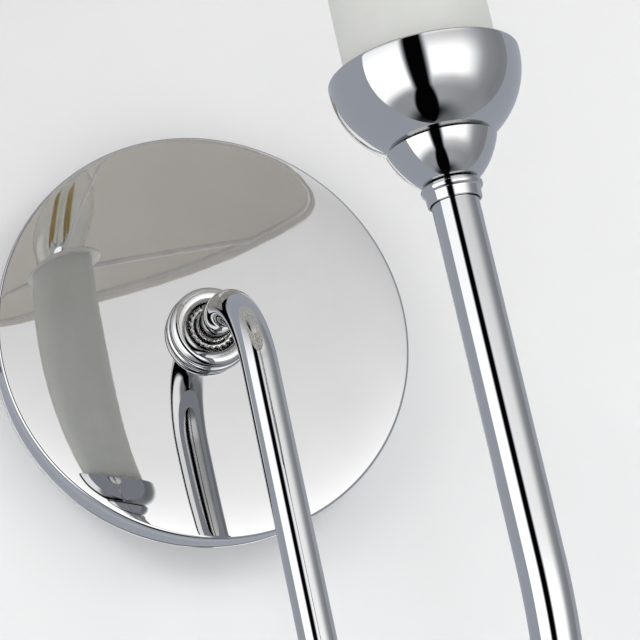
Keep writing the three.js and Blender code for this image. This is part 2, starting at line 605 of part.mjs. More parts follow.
addCup('shade_fitter', whiteWire(), shadeFitter());

// ---- leads inside the arm ----
const GROUND_END_Z = -6;
const LEADS = [
  { name: 'live', colour: 0x1b1b1b, angle: 30, endZ: SOCKET.bottom - GAP },
  { name: 'neutral', colour: 0xece9e0, angle: 150, endZ: SOCKET.bottom - GAP },
  { name: 'ground', colour: 0x2f7d3a, angle: 270, endZ: GROUND_END_Z },
];
const LEAD_OFFSET = 1.35;           // from the middle of the tube to the middle of each lead
for (const lead of LEADS) {
  const angle = THREE.MathUtils.degToRad(lead.angle);
  lead.across = LEAD_OFFSET * Math.cos(angle);
  lead.outward = LEAD_OFFSET * Math.sin(angle);
  const path = armPath(SHAFT_BACK_Y, lead.endZ, lead.across, lead.outward);
  add(`arm_lead_${lead.name}`, surface(lead.colour, 0, 0.5), swept(path, WIRE_RADIUS, 0, 8, 44));
}

// ---- leads and connectors behind the backplate ----
const CONNECTOR = { x: 13, y: -6.2, bottom: 30, length: 18, radius: 3.9 };
const toConnector = (side) => [
  [side * 7, -1.9, 6], [side * 10.5, -3.4, 13.5], [side * CONNECTOR.x, -5.6, 22],
  [side * CONNECTOR.x, CONNECTOR.y, CONNECTOR.bottom - GAP],
];
const canopyRoutes = {
  live: toConnector(1),
  neutral: toConnector(-1),
  ground: [[-6, -1.9, -2.4], [-11, -3.1, -1.4], [GROUND_SCREW_X + LUG.barrelEnd + GAP, -3.1, 0]],
};
for (const lead of LEADS) {
  const start = new THREE.Vector3(lead.across, SHAFT_BACK_Y + GAP, lead.outward);
  const bendOut = new THREE.Vector3(lead.across * 1.3, SHAFT_BACK_Y + 2, lead.outward * 1.3);
  const route = canopyRoutes[lead.name].map((point) => new THREE.Vector3(...point));
  const path = new THREE.CatmullRomCurve3([start, bendOut, ...route], false, 'centripetal');
  add(`canopy_lead_${lead.name}`, surface(lead.colour, 0, 0.5), swept(path, WIRE_RADIUS, 0, 8, 12));
}
for (const [name, side] of [['live', 1], ['neutral', -1]]) {
  const { radius, length } = CONNECTOR;
  const cap = turnedZ([
    [0, 0], [radius, 0], [radius, length * 0.35], [radius * 0.62, length * 0.9], [radius * 0.4, length],
    [0, length],
  ], 16);
  const connector = add(`wire_connector_${name}`, surface(0xd07a2a, 0, 0.5), cap);
  connector.position.set(side * CONNECTOR.x, CONNECTOR.y, CONNECTOR.bottom);
}

export default group;
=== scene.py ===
"""The looks of a chrome wall sconce: round mirror plate, turned hub, hooked tube arm, candle cup and shade.

Shapes are drawn in millimetres in the CAD model's frame (+X right along the wall, +Y into the wall, +Z up,
the origin on the wall behind the plate's middle) and become metres when their meshes are made.
"""
import math

import bmesh
import bpy
from mathutils import Matrix, Vector


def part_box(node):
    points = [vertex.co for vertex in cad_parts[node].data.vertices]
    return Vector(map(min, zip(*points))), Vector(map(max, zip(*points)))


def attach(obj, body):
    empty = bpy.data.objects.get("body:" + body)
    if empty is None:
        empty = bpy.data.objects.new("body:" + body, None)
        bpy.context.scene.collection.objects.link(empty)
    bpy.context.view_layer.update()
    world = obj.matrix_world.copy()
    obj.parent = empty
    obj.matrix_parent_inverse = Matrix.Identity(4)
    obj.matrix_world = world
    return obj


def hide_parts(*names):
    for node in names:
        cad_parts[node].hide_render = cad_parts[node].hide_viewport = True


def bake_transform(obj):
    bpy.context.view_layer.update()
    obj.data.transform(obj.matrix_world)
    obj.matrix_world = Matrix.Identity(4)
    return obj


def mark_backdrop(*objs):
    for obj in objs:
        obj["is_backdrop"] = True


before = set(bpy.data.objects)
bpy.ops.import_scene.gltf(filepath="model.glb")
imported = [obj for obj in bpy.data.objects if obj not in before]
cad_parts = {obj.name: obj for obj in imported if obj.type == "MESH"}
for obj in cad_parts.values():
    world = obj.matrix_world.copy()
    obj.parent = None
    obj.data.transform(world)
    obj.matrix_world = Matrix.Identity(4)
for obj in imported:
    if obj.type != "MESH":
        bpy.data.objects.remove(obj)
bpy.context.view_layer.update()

MM = 0.001


def span(node):
    """A CAD node's lowest and highest corner at rest, in millimetres."""
    low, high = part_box(node)
    return Vector(low) / MM, Vector(high) / MM


# ---- places, in millimetres ----
PLATE_LOW, PLATE_HIGH = span("backplate")
PLATE_RADIUS = PLATE_HIGH.x
PLATE_FACE_Y = PLATE_LOW.y
TUBE_RADIUS = 4.7625
TUBE_BORE = 3.75
TUBE_START_Y = span("arm_tube")[1].y
TUBE_TOP_Z = -33.0
HOOK_RADIUS = 22.0
LEG_NEAR_Y = -53.5
SLEEVE_LOW, SLEEVE_HIGH = span("candle_sleeve")
CANDLE_Y = (SLEEVE_LOW.y + SLEEVE_HIGH.y) / 2
U_CENTRE_Z = -105.25
CANDLE = (0, CANDLE_Y, 0)
HUB = (0, 0, 0)
HUB_BORE = 5.15
PLATE_WALL = 1.0
PLATE_EDGE_DROP = 0.6
STRAP_THICKNESS = 1.4
SHAFT_RADIUS = 4.8
SHAFT_FRONT_Y, SHAFT_BACK_Y = (corner.y for corner in span("swivel_shaft"))
NIPPLE_RADIUS = 3.4
PIPE_PITCH = 0.94
BULB_PITCH = 3.63


# ---- camera ----
CAMERA_PLACE = (-167.71, -587.35, -166.40)
CAMERA_TURN, CAMERA_RISE, CAMERA_ROLL = -19.2147, -15.2708, -12.3464     # in degrees
CAMERA_FOCUS = 2271.66 / 640        # the focal length as a share of the picture's width


def make_camera():
    """Looks up at the hub from the lower left, rolled a little, as the photograph was taken."""
    azimuth, elevation, roll = (math.radians(angle) for angle in (CAMERA_TURN, CAMERA_RISE, CAMERA_ROLL))
    flat = math.cos(elevation)
    back = Vector((math.sin(azimuth) * flat, -math.cos(azimuth) * flat, math.sin(elevation)))
    level = (-back).cross(Vector((0, 0, 1))).normalized()
    upright = level.cross(-back)
    right = math.cos(roll) * level + math.sin(roll) * upright
    up = math.cos(roll) * upright - math.sin(roll) * level
    camera = bpy.data.cameras.new("camera")
    camera.sensor_width = 36
    camera.lens = CAMERA_FOCUS * camera.sensor_width
    camera.clip_start = 0.01
    camera.clip_end = 50
    eye = bpy.data.objects.new("camera", camera)
    facing = Matrix((right, up, back)).transposed().to_4x4()
    eye.matrix_world = Matrix.Translation(Vector(CAMERA_PLACE) * MM) @ facing
    bpy.context.scene.collection.objects.link(eye)
    bpy.context.scene.camera = eye


make_camera()


# ---- node graphs ----
class Graph:
    """Adds nodes to a tree and hands back their sockets."""

    def __init__(self, tree):
        self.tree = tree

    def feed(self, socket, value):
        if isinstance(value, bpy.types.NodeSocket):
            self.tree.links.new(value, socket)
        else:
            socket.default_value = value

    def add(self, kind, values=None, **settings):
        node = self.tree.nodes.new(kind)
        for key, value in settings.items():
            setattr(node, key, value)
        for name, value in (values or {}).items():
            self.feed(node.inputs[name], value)
        return node

    def math(self, operation, *values):
        node = self.add("ShaderNodeMath", operation=operation)
        for socket, value in zip(node.inputs, values):
            self.feed(socket, value)
        return node.outputs[0]

    def ease(self, value, low, high, start=0.0, end=1.0):
        """Goes smoothly from start to end as value goes from low to high."""
        node = self.add("ShaderNodeMapRange", interpolation_type="SMOOTHSTEP")
        values = {"Value": value, "From Min": low, "From Max": high, "To Min": start, "To Max": end}
        for name, number in values.items():
            self.feed(node.inputs[name], number)
        return node.outputs["Result"]

    def between(self, value, low, high, soft_low, soft_high):
        """1 between low and high, with soft edges centred on them."""
        rise = self.ease(value, low - soft_low / 2, low + soft_low / 2)
        fall = self.ease(value, high - soft_high / 2, high + soft_high / 2, 1.0, 0.0)
        return self.math("MULTIPLY", rise, fall)

    def ramp(self, value, stops):
        """The colour at value along a run of (position, colour) stops."""
        node = self.add("ShaderNodeValToRGB", {"Fac": value})
        elements = node.color_ramp.elements
        while len(elements) < len(stops):
            elements.new(0.5)
        for element, (position, colour) in zip(elements, stops):
            element.position = position
            element.color = (*colour, 1)
        return node.outputs["Color"]

    def mix(self, factor, first, second):
        """The first colour where factor is 0 and the second where it is 1."""
        node = self.add("ShaderNodeMix", data_type="RGBA")
        first_colour, second_colour = 6, 7
        self.feed(node.inputs["Factor"], factor)
        self.feed(node.inputs[first_colour], first)
        self.feed(node.inputs[second_colour], second)
        return node.outputs[2]

    def noise(self, scale, detail, roughness, vector):
        values = {"Scale": scale, "Detail": detail, "Roughness": roughness, "Vector": vector}
        return self.add("ShaderNodeTexNoise", values).outputs["Fac"]


# ---- studio ----
# Levels are what the plating shows, from 0 to 255. Angles are in degrees, 0 straight out from the wall.
CHROME_SHARE = 0.60                 # how much light the plating gives back
LIGHT = 275                         # the soft lights' level, past white
# Painted reflection: the flat grey glow, with its bluish tint, that the wall shows to mirror rays instead of
# its lit colour.
WALL_PAINTED_REFLECTION_LEVEL = 145                # the wall's level
PAINTED_REFLECTION_TINT = (0.94, 1.0, 1.13)          # tint of the wall in the plating
COOL = (0.965, 1.0, 1.055)          # tint of the room's unlit parts
WHITE = (1.0, 1.0, 1.0)
BACKDROP = (0.80, 0.81, 0.82, 1)    # what the camera sees behind the stage

# The room at eye level, below it and straight down: runs of (angle, level) with their tints.
ROOM_AROUND = (
    (COOL, ((-180, 178), (-150, 172), (-125, 178), (-100, 184), (-60, 190), (-12, 199))),
    (WHITE, ((0, 198), (28, 188))),
    (COOL, ((45, 166), (62, 132), (80, 120), (96, 124), (115, 152), (140, 178), (180, 178))),
)
ROOM_LOW = ((COOL, ((-180, 160), (-130, 152), (-80, 138), (0, 150), (60, 132), (100, 134), (180, 160))),)
ROOM_NADIR = ((COOL, ((-180, 110), (-130, 60), (-80, 22), (0, 16), (45, 90), (90, 105), (180, 110))),)
CEILING_LEVEL = 152
CEILING_FADE = (35.0, 62.0)
LOW_FADE = (-30.0, -48.0)
NADIR_FADE = (-58.0, -76.0)

# Each light's low side, high side and how soft each of them is.
LEFT_LIGHT_ACROSS = (-106.0, -44.0, 38.0, 8.0)
LEFT_LIGHT_UP = (-36.0, 22.0, 16.0, 60.0)
RIGHT_LIGHT_ACROSS = (-14.0, 40.0, 8.0, 34.0)
RIGHT_LIGHT_UP = (-30.0, 8.0, 14.0, 30.0)
RIGHT_GLOW_UP = (26.0, 48.0, 12.0, 20.0)
RIGHT_GLOW_SHARE = 0.36

GAP_LEVEL = 11
GAP_LEFT, GAP_RIGHT, GAP_SOFT = -42.0, -17.0, 4.0
GAP_TOP_FADE = (70.0, 55.0)
GAP_WIDENS_BELOW = -42.0
GAP_SPREAD_LEFT, GAP_SPREAD_RIGHT = 0.9, 0.54


def seen(level, tint=WHITE):
    """The light around the lamp that the plating shows at this display level, 0 to 255."""
    return tuple((level / 255) ** 2.2 / CHROME_SHARE * share for share in tint)


def room_light(level, tint=WHITE):
    return (*seen(level, tint), 1)


def room_stops(runs):
    """A ramp's stops, which go once round the room."""
    return [((angle + 180) / 360, seen(level, tint)) for tint, levels in runs for angle, level in levels]


def studio_world():
    """Two wide soft lights either side of a dark gap where the camera stands, in a plain grey room."""
    world = bpy.data.worlds.new("studio")
    world.use_nodes = True
    world.node_tree.nodes.clear()
    graph = Graph(world.node_tree)
    direction = graph.add("ShaderNodeTexCoord").outputs["Generated"]
    parts = graph.add("ShaderNodeSeparateXYZ", {"Vector": direction}).outputs
    degrees = 180 / math.pi
    outward = graph.math("MULTIPLY", parts["Y"], -1.0)
    azimuth = graph.math("MULTIPLY", graph.math("ARCTAN2", parts["X"], outward), degrees)
    elevation = graph.math("MULTIPLY", graph.math("ARCSINE", parts["Z"]), degrees)

    turn = graph.math("DIVIDE", graph.math("ADD", azimuth, 180.0), 360.0)
    room = graph.ramp(turn, room_stops(ROOM_AROUND))
    room = graph.mix(graph.ease(elevation, *CEILING_FADE), room, room_light(CEILING_LEVEL))
    room = graph.mix(graph.ease(elevation, *LOW_FADE), room, graph.ramp(turn, room_stops(ROOM_LOW)))
    room = graph.mix(graph.ease(elevation, *NADIR_FADE), room, graph.ramp(turn, room_stops(ROOM_NADIR)))

    left_light = graph.math("MULTIPLY", graph.between(azimuth, *LEFT_LIGHT_ACROSS),
                            graph.between(elevation, *LEFT_LIGHT_UP))
    right_side = graph.between(azimuth, *RIGHT_LIGHT_ACROSS)
    right_light = graph.math("MULTIPLY", right_side, graph.between(elevation, *RIGHT_LIGHT_UP))
    right_glow = graph.math("MULTIPLY", right_side, graph.between(elevation, *RIGHT_GLOW_UP))
    right_light = graph.math("ADD", right_light, graph.math("MULTIPLY", right_glow, RIGHT_GLOW_SHARE))
    room = graph.mix(graph.math("MAXIMUM", left_light, right_light), room, room_light(LIGHT))

    depth = graph.math("MAXIMUM", graph.math("SUBTRACT", GAP_WIDENS_BELOW, elevation), 0.0)
    gap_low = graph.math("SUBTRACT", GAP_LEFT, graph.math("MULTIPLY", depth, GAP_SPREAD_LEFT))
    gap_high = graph.math("ADD", GAP_RIGHT, graph.math("MULTIPLY", depth, GAP_SPREAD_RIGHT))
    left_edge = graph.ease(graph.math("SUBTRACT", azimuth, gap_low), -GAP_SOFT, GAP_SOFT)
    right_edge = graph.ease(graph.math("SUBTRACT", azimuth, gap_high), -GAP_SOFT, GAP_SOFT, 1.0, 0.0)
    gap = graph.math("MULTIPLY", graph.math("MULTIPLY", left_edge, right_edge),
                     graph.ease(elevation, *GAP_TOP_FADE))
    room = graph.mix(gap, room, room_light(GAP_LEVEL))

    studio = graph.add("ShaderNodeBackground", {"Color": room, "Strength": 1.0}).outputs[0]
    plain = graph.add("ShaderNodeBackground", {"Color": BACKDROP, "Strength": 1.0}).outputs[0]
    camera_ray = graph.add("ShaderNodeLightPath").outputs["Is Camera Ray"]
    shown = graph.add("ShaderNodeMixShader", {"Fac": camera_ray})
    graph.feed(shown.inputs[1], studio)
    graph.feed(shown.inputs[2], plain)
    out = graph.add("ShaderNodeOutputWorld")
    graph.feed(out.inputs["Surface"], shown.outputs[0])
    bpy.context.scene.world = world


studio_world()
bpy.context.scene.view_settings.view_transform = "Standard"


def soft_light(name, place, target, size, power):
    """A broad lamp that lights matt surfaces but isn't mirrored in the plating."""
    lamp = bpy.data.lights.new(name, "AREA")
    lamp.shape = "DISK"
    lamp.size = size
    lamp.energy = power
    holder = bpy.data.objects.new(name, lamp)
    aim = (Vector(target) - Vector(place)).to_track_quat("-Z", "Y").to_matrix().to_4x4()
    holder.matrix_world = Matrix.Translation(Vector(place)) @ aim
    holder.visible_glossy = False
    bpy.context.scene.collection.objects.link(holder)


soft_light("key", (-1.2, -1.7, 1.5), (0, 0, 0.1), 1.1, 16.5)
soft_light("fill", (1.6, -1.7, 1.0), (0.2, 0, 0.1), 1.4, 15)


def staged(name, mesh):
    sheet = bpy.data.objects.new(name, mesh)
    bpy.context.scene.collection.objects.link(sheet)
    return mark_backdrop(sheet) or sheet


def staged_sheet(name, corners):
    """A flat backdrop."""
    mesh = bpy.data.meshes.new(name)
    mesh.from_pydata(corners, [], [tuple(range(len(corners)))])
    return staged(name, mesh)


def staged_wall(name, reach, y, hole):
    """An upright square backdrop with a round hole in its middle. All sizes are in metres."""
    sides = 64
    circle = [(math.cos(i * math.tau / sides), math.sin(i * math.tau / sides)) for i in range(sides)]
    ring = [(hole * x, y, hole * z) for x, z in circle]
    rim = [(x * reach / max(abs(x), abs(z)), y, z * reach / max(abs(x), abs(z))) for x, z in circle]
    faces = [(i, sides + i, sides + (i + 1) % sides, (i + 1) % sides) for i in range(sides)]
    mesh = bpy.data.meshes.new(name)
    mesh.from_pydata(ring + rim, [], faces)
    return staged(name, mesh)


def new_material(name):
    """A material for a slot, with its node graph, its main shader and the place on the object, in metres."""
    material = bpy.data.materials.new(name)
    material.use_nodes = True
    graph = Graph(material.node_tree)
    shader = material.node_tree.nodes["Principled BSDF"]
    place = graph.add("ShaderNodeTexCoord").outputs["Object"]
    return material, graph, shader, place


def set_values(shader, **values):
    names = {"rough": "Roughness", "metal": "Metallic", "base": "Base Color", "ior": "IOR",
             "specular": "Specular IOR Level", "through": "Transmission Weight", "sheen": "Sheen Weight",
             "under": "Subsurface Weight", "under_scale": "Subsurface Scale"}
    for key, value in values.items():
        shader.inputs[names[key]].default_value = (*value, 1) if key == "base" else value


def two_tones(graph, shader, where, dark, light, low=0.3, high=0.7):
    """Colours the shader from dark to light as where goes from low to high."""
    graph.feed(shader.inputs["Base Color"], graph.ramp(where, [(low, dark), (high, light)]))


def stretched(graph, place, scale):
    return graph.add("ShaderNodeMapping", {"Vector": place, "Scale": scale}).outputs[0]


def bumped(graph, shader, height, distance):
    bump = graph.add("ShaderNodeBump", {"Height": height, "Distance": distance})
    graph.feed(shader.inputs["Normal"], bump.outputs[0])


def polished_chrome():
    """Mirror plating: a trace of haze in patches, hairline polishing marks and an almost flat orange peel."""
    material, graph, shader, place = new_material("polished_chrome")
    set_values(shader, metal=1.0)
    cloud = graph.noise(55.0, 4.0, 0.6, place)
    hairs = graph.noise(1.0, 2.0, 0.5, stretched(graph, place, (2600.0, 160.0, 2600.0)))
    haze = graph.math("ADD", graph.ease(cloud, 0.45, 0.75, 0.012, 0.045),
                      graph.math("MULTIPLY", graph.ease(hairs, 0.62, 0.8), 0.02))
    graph.feed(shader.inputs["Roughness"], haze)
    two_tones(graph, shader, cloud, (0.59, 0.59, 0.59), (0.615, 0.615, 0.615))
    bumped(graph, shader, graph.noise(260.0, 2.0, 0.4, place), 0.0000012)
    return material


def plain_metal(name, dark, light, rough, grain=(900.0, 60.0, 900.0)):
    """Dull metal with a drawn grain, patchy tone and a fine pitted surface."""
    material, graph, shader, place = new_material(name)
    set_values(shader, metal=1.0)
    drawn = graph.noise(1.0, 3.0, 0.55, stretched(graph, place, grain))
    cloud = graph.noise(180.0, 5.0, 0.65, place)
    two_tones(graph, shader, cloud, dark, light)
    wear = graph.math("ADD", drawn, cloud)
    graph.feed(shader.inputs["Roughness"], graph.ease(wear, 0.7, 1.3, rough - 0.09, rough + 0.12))
    bumped(graph, shader, graph.math("ADD", drawn, graph.noise(2400.0, 3.0, 0.6, place)), 0.00002)
    return material


def moulded(name, dark, light, rough, speckle=1500.0, depth=0.00003, **extra):
    """Moulded plastic: faint clouding of the colour and a fine skin texture."""
    material, graph, shader, place = new_material(name)
    set_values(shader, **extra)
    two_tones(graph, shader, graph.noise(120.0, 4.0, 0.6, place), dark, light)
    skin = graph.noise(speckle, 3.0, 0.6, place)
    graph.feed(shader.inputs["Roughness"], graph.ease(skin, 0.3, 0.7, rough - 0.05, rough + 0.06))
    bumped(graph, shader, skin, depth)
    return material


def sleeve_white():
    """Satin off-white: soft clouding, faint lengthwise drawing lines and a little light inside."""
    material, graph, shader, place = new_material("sleeve_white")
    set_values(shader, specular=0.35, under=0.12, under_scale=0.004)
    cloud = graph.noise(38.0, 4.0, 0.6, place)
    lines = graph.noise(1.0, 3.0, 0.6, stretched(graph, place, (900.0, 900.0, 22.0)))
    two_tones(graph, shader, cloud, (0.60, 0.592, 0.562), (0.64, 0.632, 0.60), 0.35, 0.65)
    graph.feed(shader.inputs["Roughness"], graph.ease(lines, 0.3, 0.7, 0.42, 0.58))
    bumped(graph, shader, graph.math("ADD", lines, graph.noise(1400.0, 3.0, 0.6, place)), 0.00002)
    return material


def clear_glass():
    """Blown glass with slow waves in its surface and faint hazy patches."""
    material, graph, shader, place = new_material("clear_glass")
    set_values(shader, base=(0.97, 0.985, 0.98), through=1.0, ior=1.5)
    haze = graph.ease(graph.noise(90.0, 4.0, 0.6, place), 0.5, 0.8, 0.0, 0.04)
    graph.feed(shader.inputs["Roughness"], haze)
    bumped(graph, shader, graph.noise(70.0, 2.0, 0.4, place), 0.00003)
    return material


def linen():
    """Fine linen on a stiff lining: threads round and up the shade, slubs, and a little light let through."""
    material, graph, shader, place = new_material("shade_linen")
    to_axis = {"Vector": place, "Location": (0.0, -CANDLE_Y * MM, 0.0)}
    moved = graph.add("ShaderNodeMapping", to_axis).outputs[0]
    parts = graph.add("ShaderNodeSeparateXYZ", {"Vector": moved}).outputs
    around = graph.math("ARCTAN2", parts["Y"], parts["X"])
    slub = graph.noise(1.0, 4.0, 0.6, stretched(graph, place, (300.0, 300.0, 1500.0)))
    waver = graph.math("MULTIPLY", graph.noise(160.0, 3.0, 0.6, place), 2.2)
    pitch, radius = 0.00052, 0.110
    threads = []
    for along, per_unit in ((around, round(radius * math.tau / pitch)), (parts["Z"], math.tau / pitch)):
        phase = graph.math("ADD", graph.math("MULTIPLY", along, per_unit), waver)
        threads.append(graph.math("SINE", phase))
    weave = graph.math("MAXIMUM", *threads)
    cloth = graph.math("ADD", graph.math("MULTIPLY", weave, 0.5), slub)
    two_tones(graph, shader, cloth, (0.80, 0.785, 0.76), (0.93, 0.917, 0.895), 0.1, 0.9)
    set_values(shader, rough=0.85, sheen=0.25, specular=0.2)
    bumped(graph, shader, cloth, 0.00012)
    light_through = graph.add("ShaderNodeBsdfTranslucent", {"Color": (0.88, 0.85, 0.81, 1)}).outputs[0]
    mixed = graph.add("ShaderNodeMixShader", {"Fac": 0.46})
    graph.feed(mixed.inputs[1], shader.outputs[0])
    graph.feed(mixed.inputs[2], light_through)
    graph.feed(material.node_tree.nodes["Material Output"].inputs["Surface"], mixed.outputs[0])
    return material


def one_sided(material, graph, front):
    """Makes a backdrop that the eye goes through from behind, so the object can be looked at from there."""
    behind = graph.add("ShaderNodeNewGeometry").outputs["Backfacing"]
    eye = graph.add("ShaderNodeLightPath").outputs["Is Camera Ray"]
    clear = graph.add("ShaderNodeBsdfTransparent").outputs[0]
    mixed = graph.add("ShaderNodeMixShader", {"Fac": graph.math("MULTIPLY", behind, eye)})
    graph.feed(mixed.inputs[1], front)
    graph.feed(mixed.inputs[2], clear)
    graph.feed(material.node_tree.nodes["Material Output"].inputs["Surface"], mixed.outputs[0])


def wall_paint():
    """Flat white wall; mirror rays that meet it see a painted reflection, a flat glowing grey in place of its
    lit colour.
    """
    material, graph, shader, place = new_material("wall_paint")
    two_tones(graph, shader, graph.noise(6.0, 3.0, 0.5, place), (0.82, 0.82, 0.82), (0.84, 0.84, 0.84))
    set_values(shader, rough=0.9, specular=0.1)
    bumped(graph, shader, graph.noise(420.0, 4.0, 0.6, place), 0.00004)
    # Painted reflection: glossy rays see this fixed grey glow instead of the lit wall.
    painted_reflection_colour = room_light(WALL_PAINTED_REFLECTION_LEVEL, PAINTED_REFLECTION_TINT)
    mirrored = graph.add("ShaderNodeEmission", {"Color": painted_reflection_colour, "Strength": 1.0}).outputs[0]
    mirror_ray = graph.add("ShaderNodeLightPath").outputs["Is Glossy Ray"]
    front = graph.add("ShaderNodeMixShader", {"Fac": mirror_ray})
    graph.feed(front.inputs[1], shader.outputs[0])
    graph.feed(front.inputs[2], mirrored)
    one_sided(material, graph, front.outputs[0])
    return material


def floor_paint():
    """Pale floor with a faint clouding."""
    material, graph, shader, place = new_material("floor_paint")
    two_tones(graph, shader, graph.noise(9.0, 4.0, 0.5, place), (0.86, 0.86, 0.865), (0.89, 0.89, 0.895))
    set_values(shader, rough=0.7)
    one_sided(material, graph, shader.outputs[0])
    return material


CHROME = polished_chrome()
STEEL = plain_metal("zinc_steel", (0.50, 0.51, 0.52), (0.64, 0.65, 0.66), 0.36)
BRASS = plain_metal("brass", (0.62, 0.46, 0.20), (0.78, 0.60, 0.29), 0.28)
NICKEL = plain_metal("nickel_base", (0.60, 0.59, 0.57), (0.72, 0.71, 0.69), 0.24)
SOLDER = plain_metal("solder", (0.45, 0.45, 0.45), (0.60, 0.60, 0.60), 0.42, grain=(400.0, 400.0, 400.0))
GREEN_METAL = plain_metal("green_screw", (0.03, 0.19, 0.06), (0.06, 0.28, 0.10), 0.35)
NYLON = moulded("nylon", (0.72, 0.70, 0.63), (0.80, 0.78, 0.71), 0.45, under=0.1, under_scale=0.001)
PHENOLIC = moulded("phenolic", (0.012, 0.010, 0.009), (0.022, 0.019, 0.017), 0.42)
BLACK_GLASS = moulded("black_glass", (0.010, 0.010, 0.012), (0.020, 0.020, 0.022), 0.12, depth=0.00001)
SLEEVE_WHITE = sleeve_white()
GLASS = clear_glass()
LINEN = linen()
WHITE_METAL = moulded("white_wire", (0.62, 0.61, 0.585), (0.70, 0.69, 0.665), 0.35)
FILAMENT = moulded("filament", (0.86, 0.58, 0.13), (0.95, 0.70, 0.22), 0.55, speckle=5200.0, depth=0.00006)
CONNECTOR = moulded("connector_orange", (0.60, 0.20, 0.03), (0.72, 0.27, 0.05), 0.4)
INSULATION = {
    "live": moulded("black_insulation", (0.012, 0.012, 0.013), (0.024, 0.024, 0.025), 0.38),
    "neutral": moulded("white_insulation", (0.70, 0.69, 0.65), (0.80, 0.79, 0.75), 0.38),
    "ground": moulded("green_insulation", (0.02, 0.20, 0.07), (0.04, 0.29, 0.11), 0.38),
}


# The backdrops' places, in metres.
WALL_REACH, WALL_Y, WALL_HOLE = 4.0, 0.0003, 0.054
FLOOR_Z = -0.62
FLOOR_CORNERS = ((-5, -6), (5, -6), (5, 4), (-5, 4))


def make_stage():
    """The wall, open behind the plate where its box is, and the floor."""
    wall = staged_wall("wall", WALL_REACH, WALL_Y, WALL_HOLE)
    wall.data.materials.append(wall_paint())
    floor = staged_sheet("floor", [(x, y, FLOOR_Z) for x, y in FLOOR_CORNERS])
    floor.data.materials.append(floor_paint())
    floor.visible_glossy = False


make_stage()


# ---- building blocks ----
def finish_mesh(name, verts, faces, material, sharp=40):
    """Makes a clean closed mesh from millimetre points, smooth except across real edges."""
    mesh = bpy.data.meshes.new(name)
    mesh.from_pydata([Vector(v) * MM for v in verts], [], faces)
    work = bmesh.new()
    work.from_mesh(mesh)
    bmesh.ops.remove_doubles(work, verts=work.verts, dist=1e-7)
    bmesh.ops.dissolve_degenerate(work, edges=work.edges, dist=1e-8)
    bmesh.ops.delete(work, geom=[edge for edge in work.edges if not edge.link_faces], context="EDGES")
    bmesh.ops.recalc_face_normals(work, faces=work.faces)
    work.to_mesh(mesh)
    work.free()
    mesh.shade_smooth()
    mesh.set_sharp_from_angle(angle=math.radians(sharp))
    mesh.materials.append(material)
    piece = bpy.data.objects.new(name, mesh)
    bpy.context.scene.collection.objects.link(piece)
    return piece


# Where a turned piece's own (sideways, sideways, along) goes when it is turned about each axis.
AXES = {
    "Z": Matrix(((1, 0, 0), (0, 1, 0), (0, 0, 1))),
    "Y": Matrix(((1, 0, 0), (0, 0, 1), (0, 1, 0))),
    "X": Matrix(((0, 0, 1), (1, 0, 0), (0, 1, 0))),
    "-X": Matrix(((0, 0, -1), (1, 0, 0), (0, 1, 0))),
}


def turned(name, profile, material, axis="Z", centre=(0, 0, 0), sides=128, warp=None, loop=True, sharp=40):
    """Turns a profile of (radius, height) points about an axis, pushed by warp(radius, height, angle)."""
    verts = []
    faces = []
    count = len(profile)
    for i in range(sides):
        angle = i * math.tau / sides
        for radius, height in profile:
            if warp is not None:
                radius, height = warp(radius, height, angle)
            point = Vector((radius * math.cos(angle), radius * math.sin(angle), height))
            verts.append(AXES[axis] @ point + Vector(centre))
    for i in range(sides):
        here, there = i * count, (i + 1) % sides * count
        for j in range(count if loop else count - 1):
            after = (j + 1) % count
            faces.append((here + j, here + after, there + after, there + j))
    return finish_mesh(name, verts, faces, material, sharp)


def rounded(corners, loop=True, steps=5):
    """Profile points from corners (radius, height, rounding), each corner an arc of its rounding."""
    points = []
    count = len(corners)
    for i, (x, y, *rest) in enumerate(corners):
        size = rest[0] if rest else 0
        at_end = not loop and i in (0, count - 1)
        if size <= 0 or at_end:
            points.append((x, y))
            continue
        here = Vector((x, y))
        before = (Vector(corners[i - 1][:2]) - here).normalized()
        after = (Vector(corners[(i + 1) % count][:2]) - here).normalized()
        half = before.angle(after) / 2
        centre = here + (before + after).normalized() * (size / math.sin(half))
        first = here + before * (size / math.tan(half)) - centre
        last = here + after * (size / math.tan(half)) - centre
        sweep = math.pi - 2 * half
        side = 1 if first.x * last.y - first.y * last.x > 0 else -1
        for k in range(steps + 1):
            turn = side * sweep * k / steps
            points.append((centre.x + first.x * math.cos(turn) - first.y * math.sin(turn),
                           centre.y + first.x * math.sin(turn) + first.y * math.cos(turn)))
    return points


def oval(centre, a, b, low, high, steps):
    """Profile points on an ellipse about (0, centre), from height low to height high."""
    start, end = (math.acos((centre - height) / b) for height in (low, high))
    return [(a * math.sin(t), centre - b * math.cos(t))
            for t in (start + (end - start) * i / steps for i in range(steps + 1))]


def swept(name, points, radius, material, sides=24, bore=0.0, sharp=40):
    """A round section carried along points, with an optional bore."""
    tangents = []
    for i in range(len(points)):
        tangents.append((points[min(i + 1, len(points) - 1)] - points[max(i - 1, 0)]).normalized())
    across = tangents[0].cross(Vector((1, 0, 0)))
    if across.length < 0.1:
        across = tangents[0].cross(Vector((0, 0, 1)))
    across.normalize()
    rings = [radius] + ([bore] if bore else [])
    verts = []
    for i, (point, tangent) in enumerate(zip(points, tangents)):
        if i:
            across = (across - tangent * across.dot(tangent)).normalized()
        side = tangent.cross(across)
        for size in rings:
            for k in range(sides):
                t = k * math.tau / sides
                verts.append(point + (across * math.cos(t) + side * math.sin(t)) * size)
    block = sides * len(rings)
    faces = []
    for i in range(len(points) - 1):
        for r in range(len(rings)):
            for k in range(sides):
                a = i * block + r * sides + k
                b = i * block + r * sides + (k + 1) % sides
                faces.append((a, b, b + block, a + block))
    last = (len(points) - 1) * block
    for end in (0, last):
        if bore:
            faces += [(end + k, end + (k + 1) % sides, end + sides + (k + 1) % sides, end + sides + k)
                      for k in range(sides)]
        else:
            faces.append(tuple(end + k for k in range(sides)))
    return finish_mesh(name, verts, faces, material, sharp)


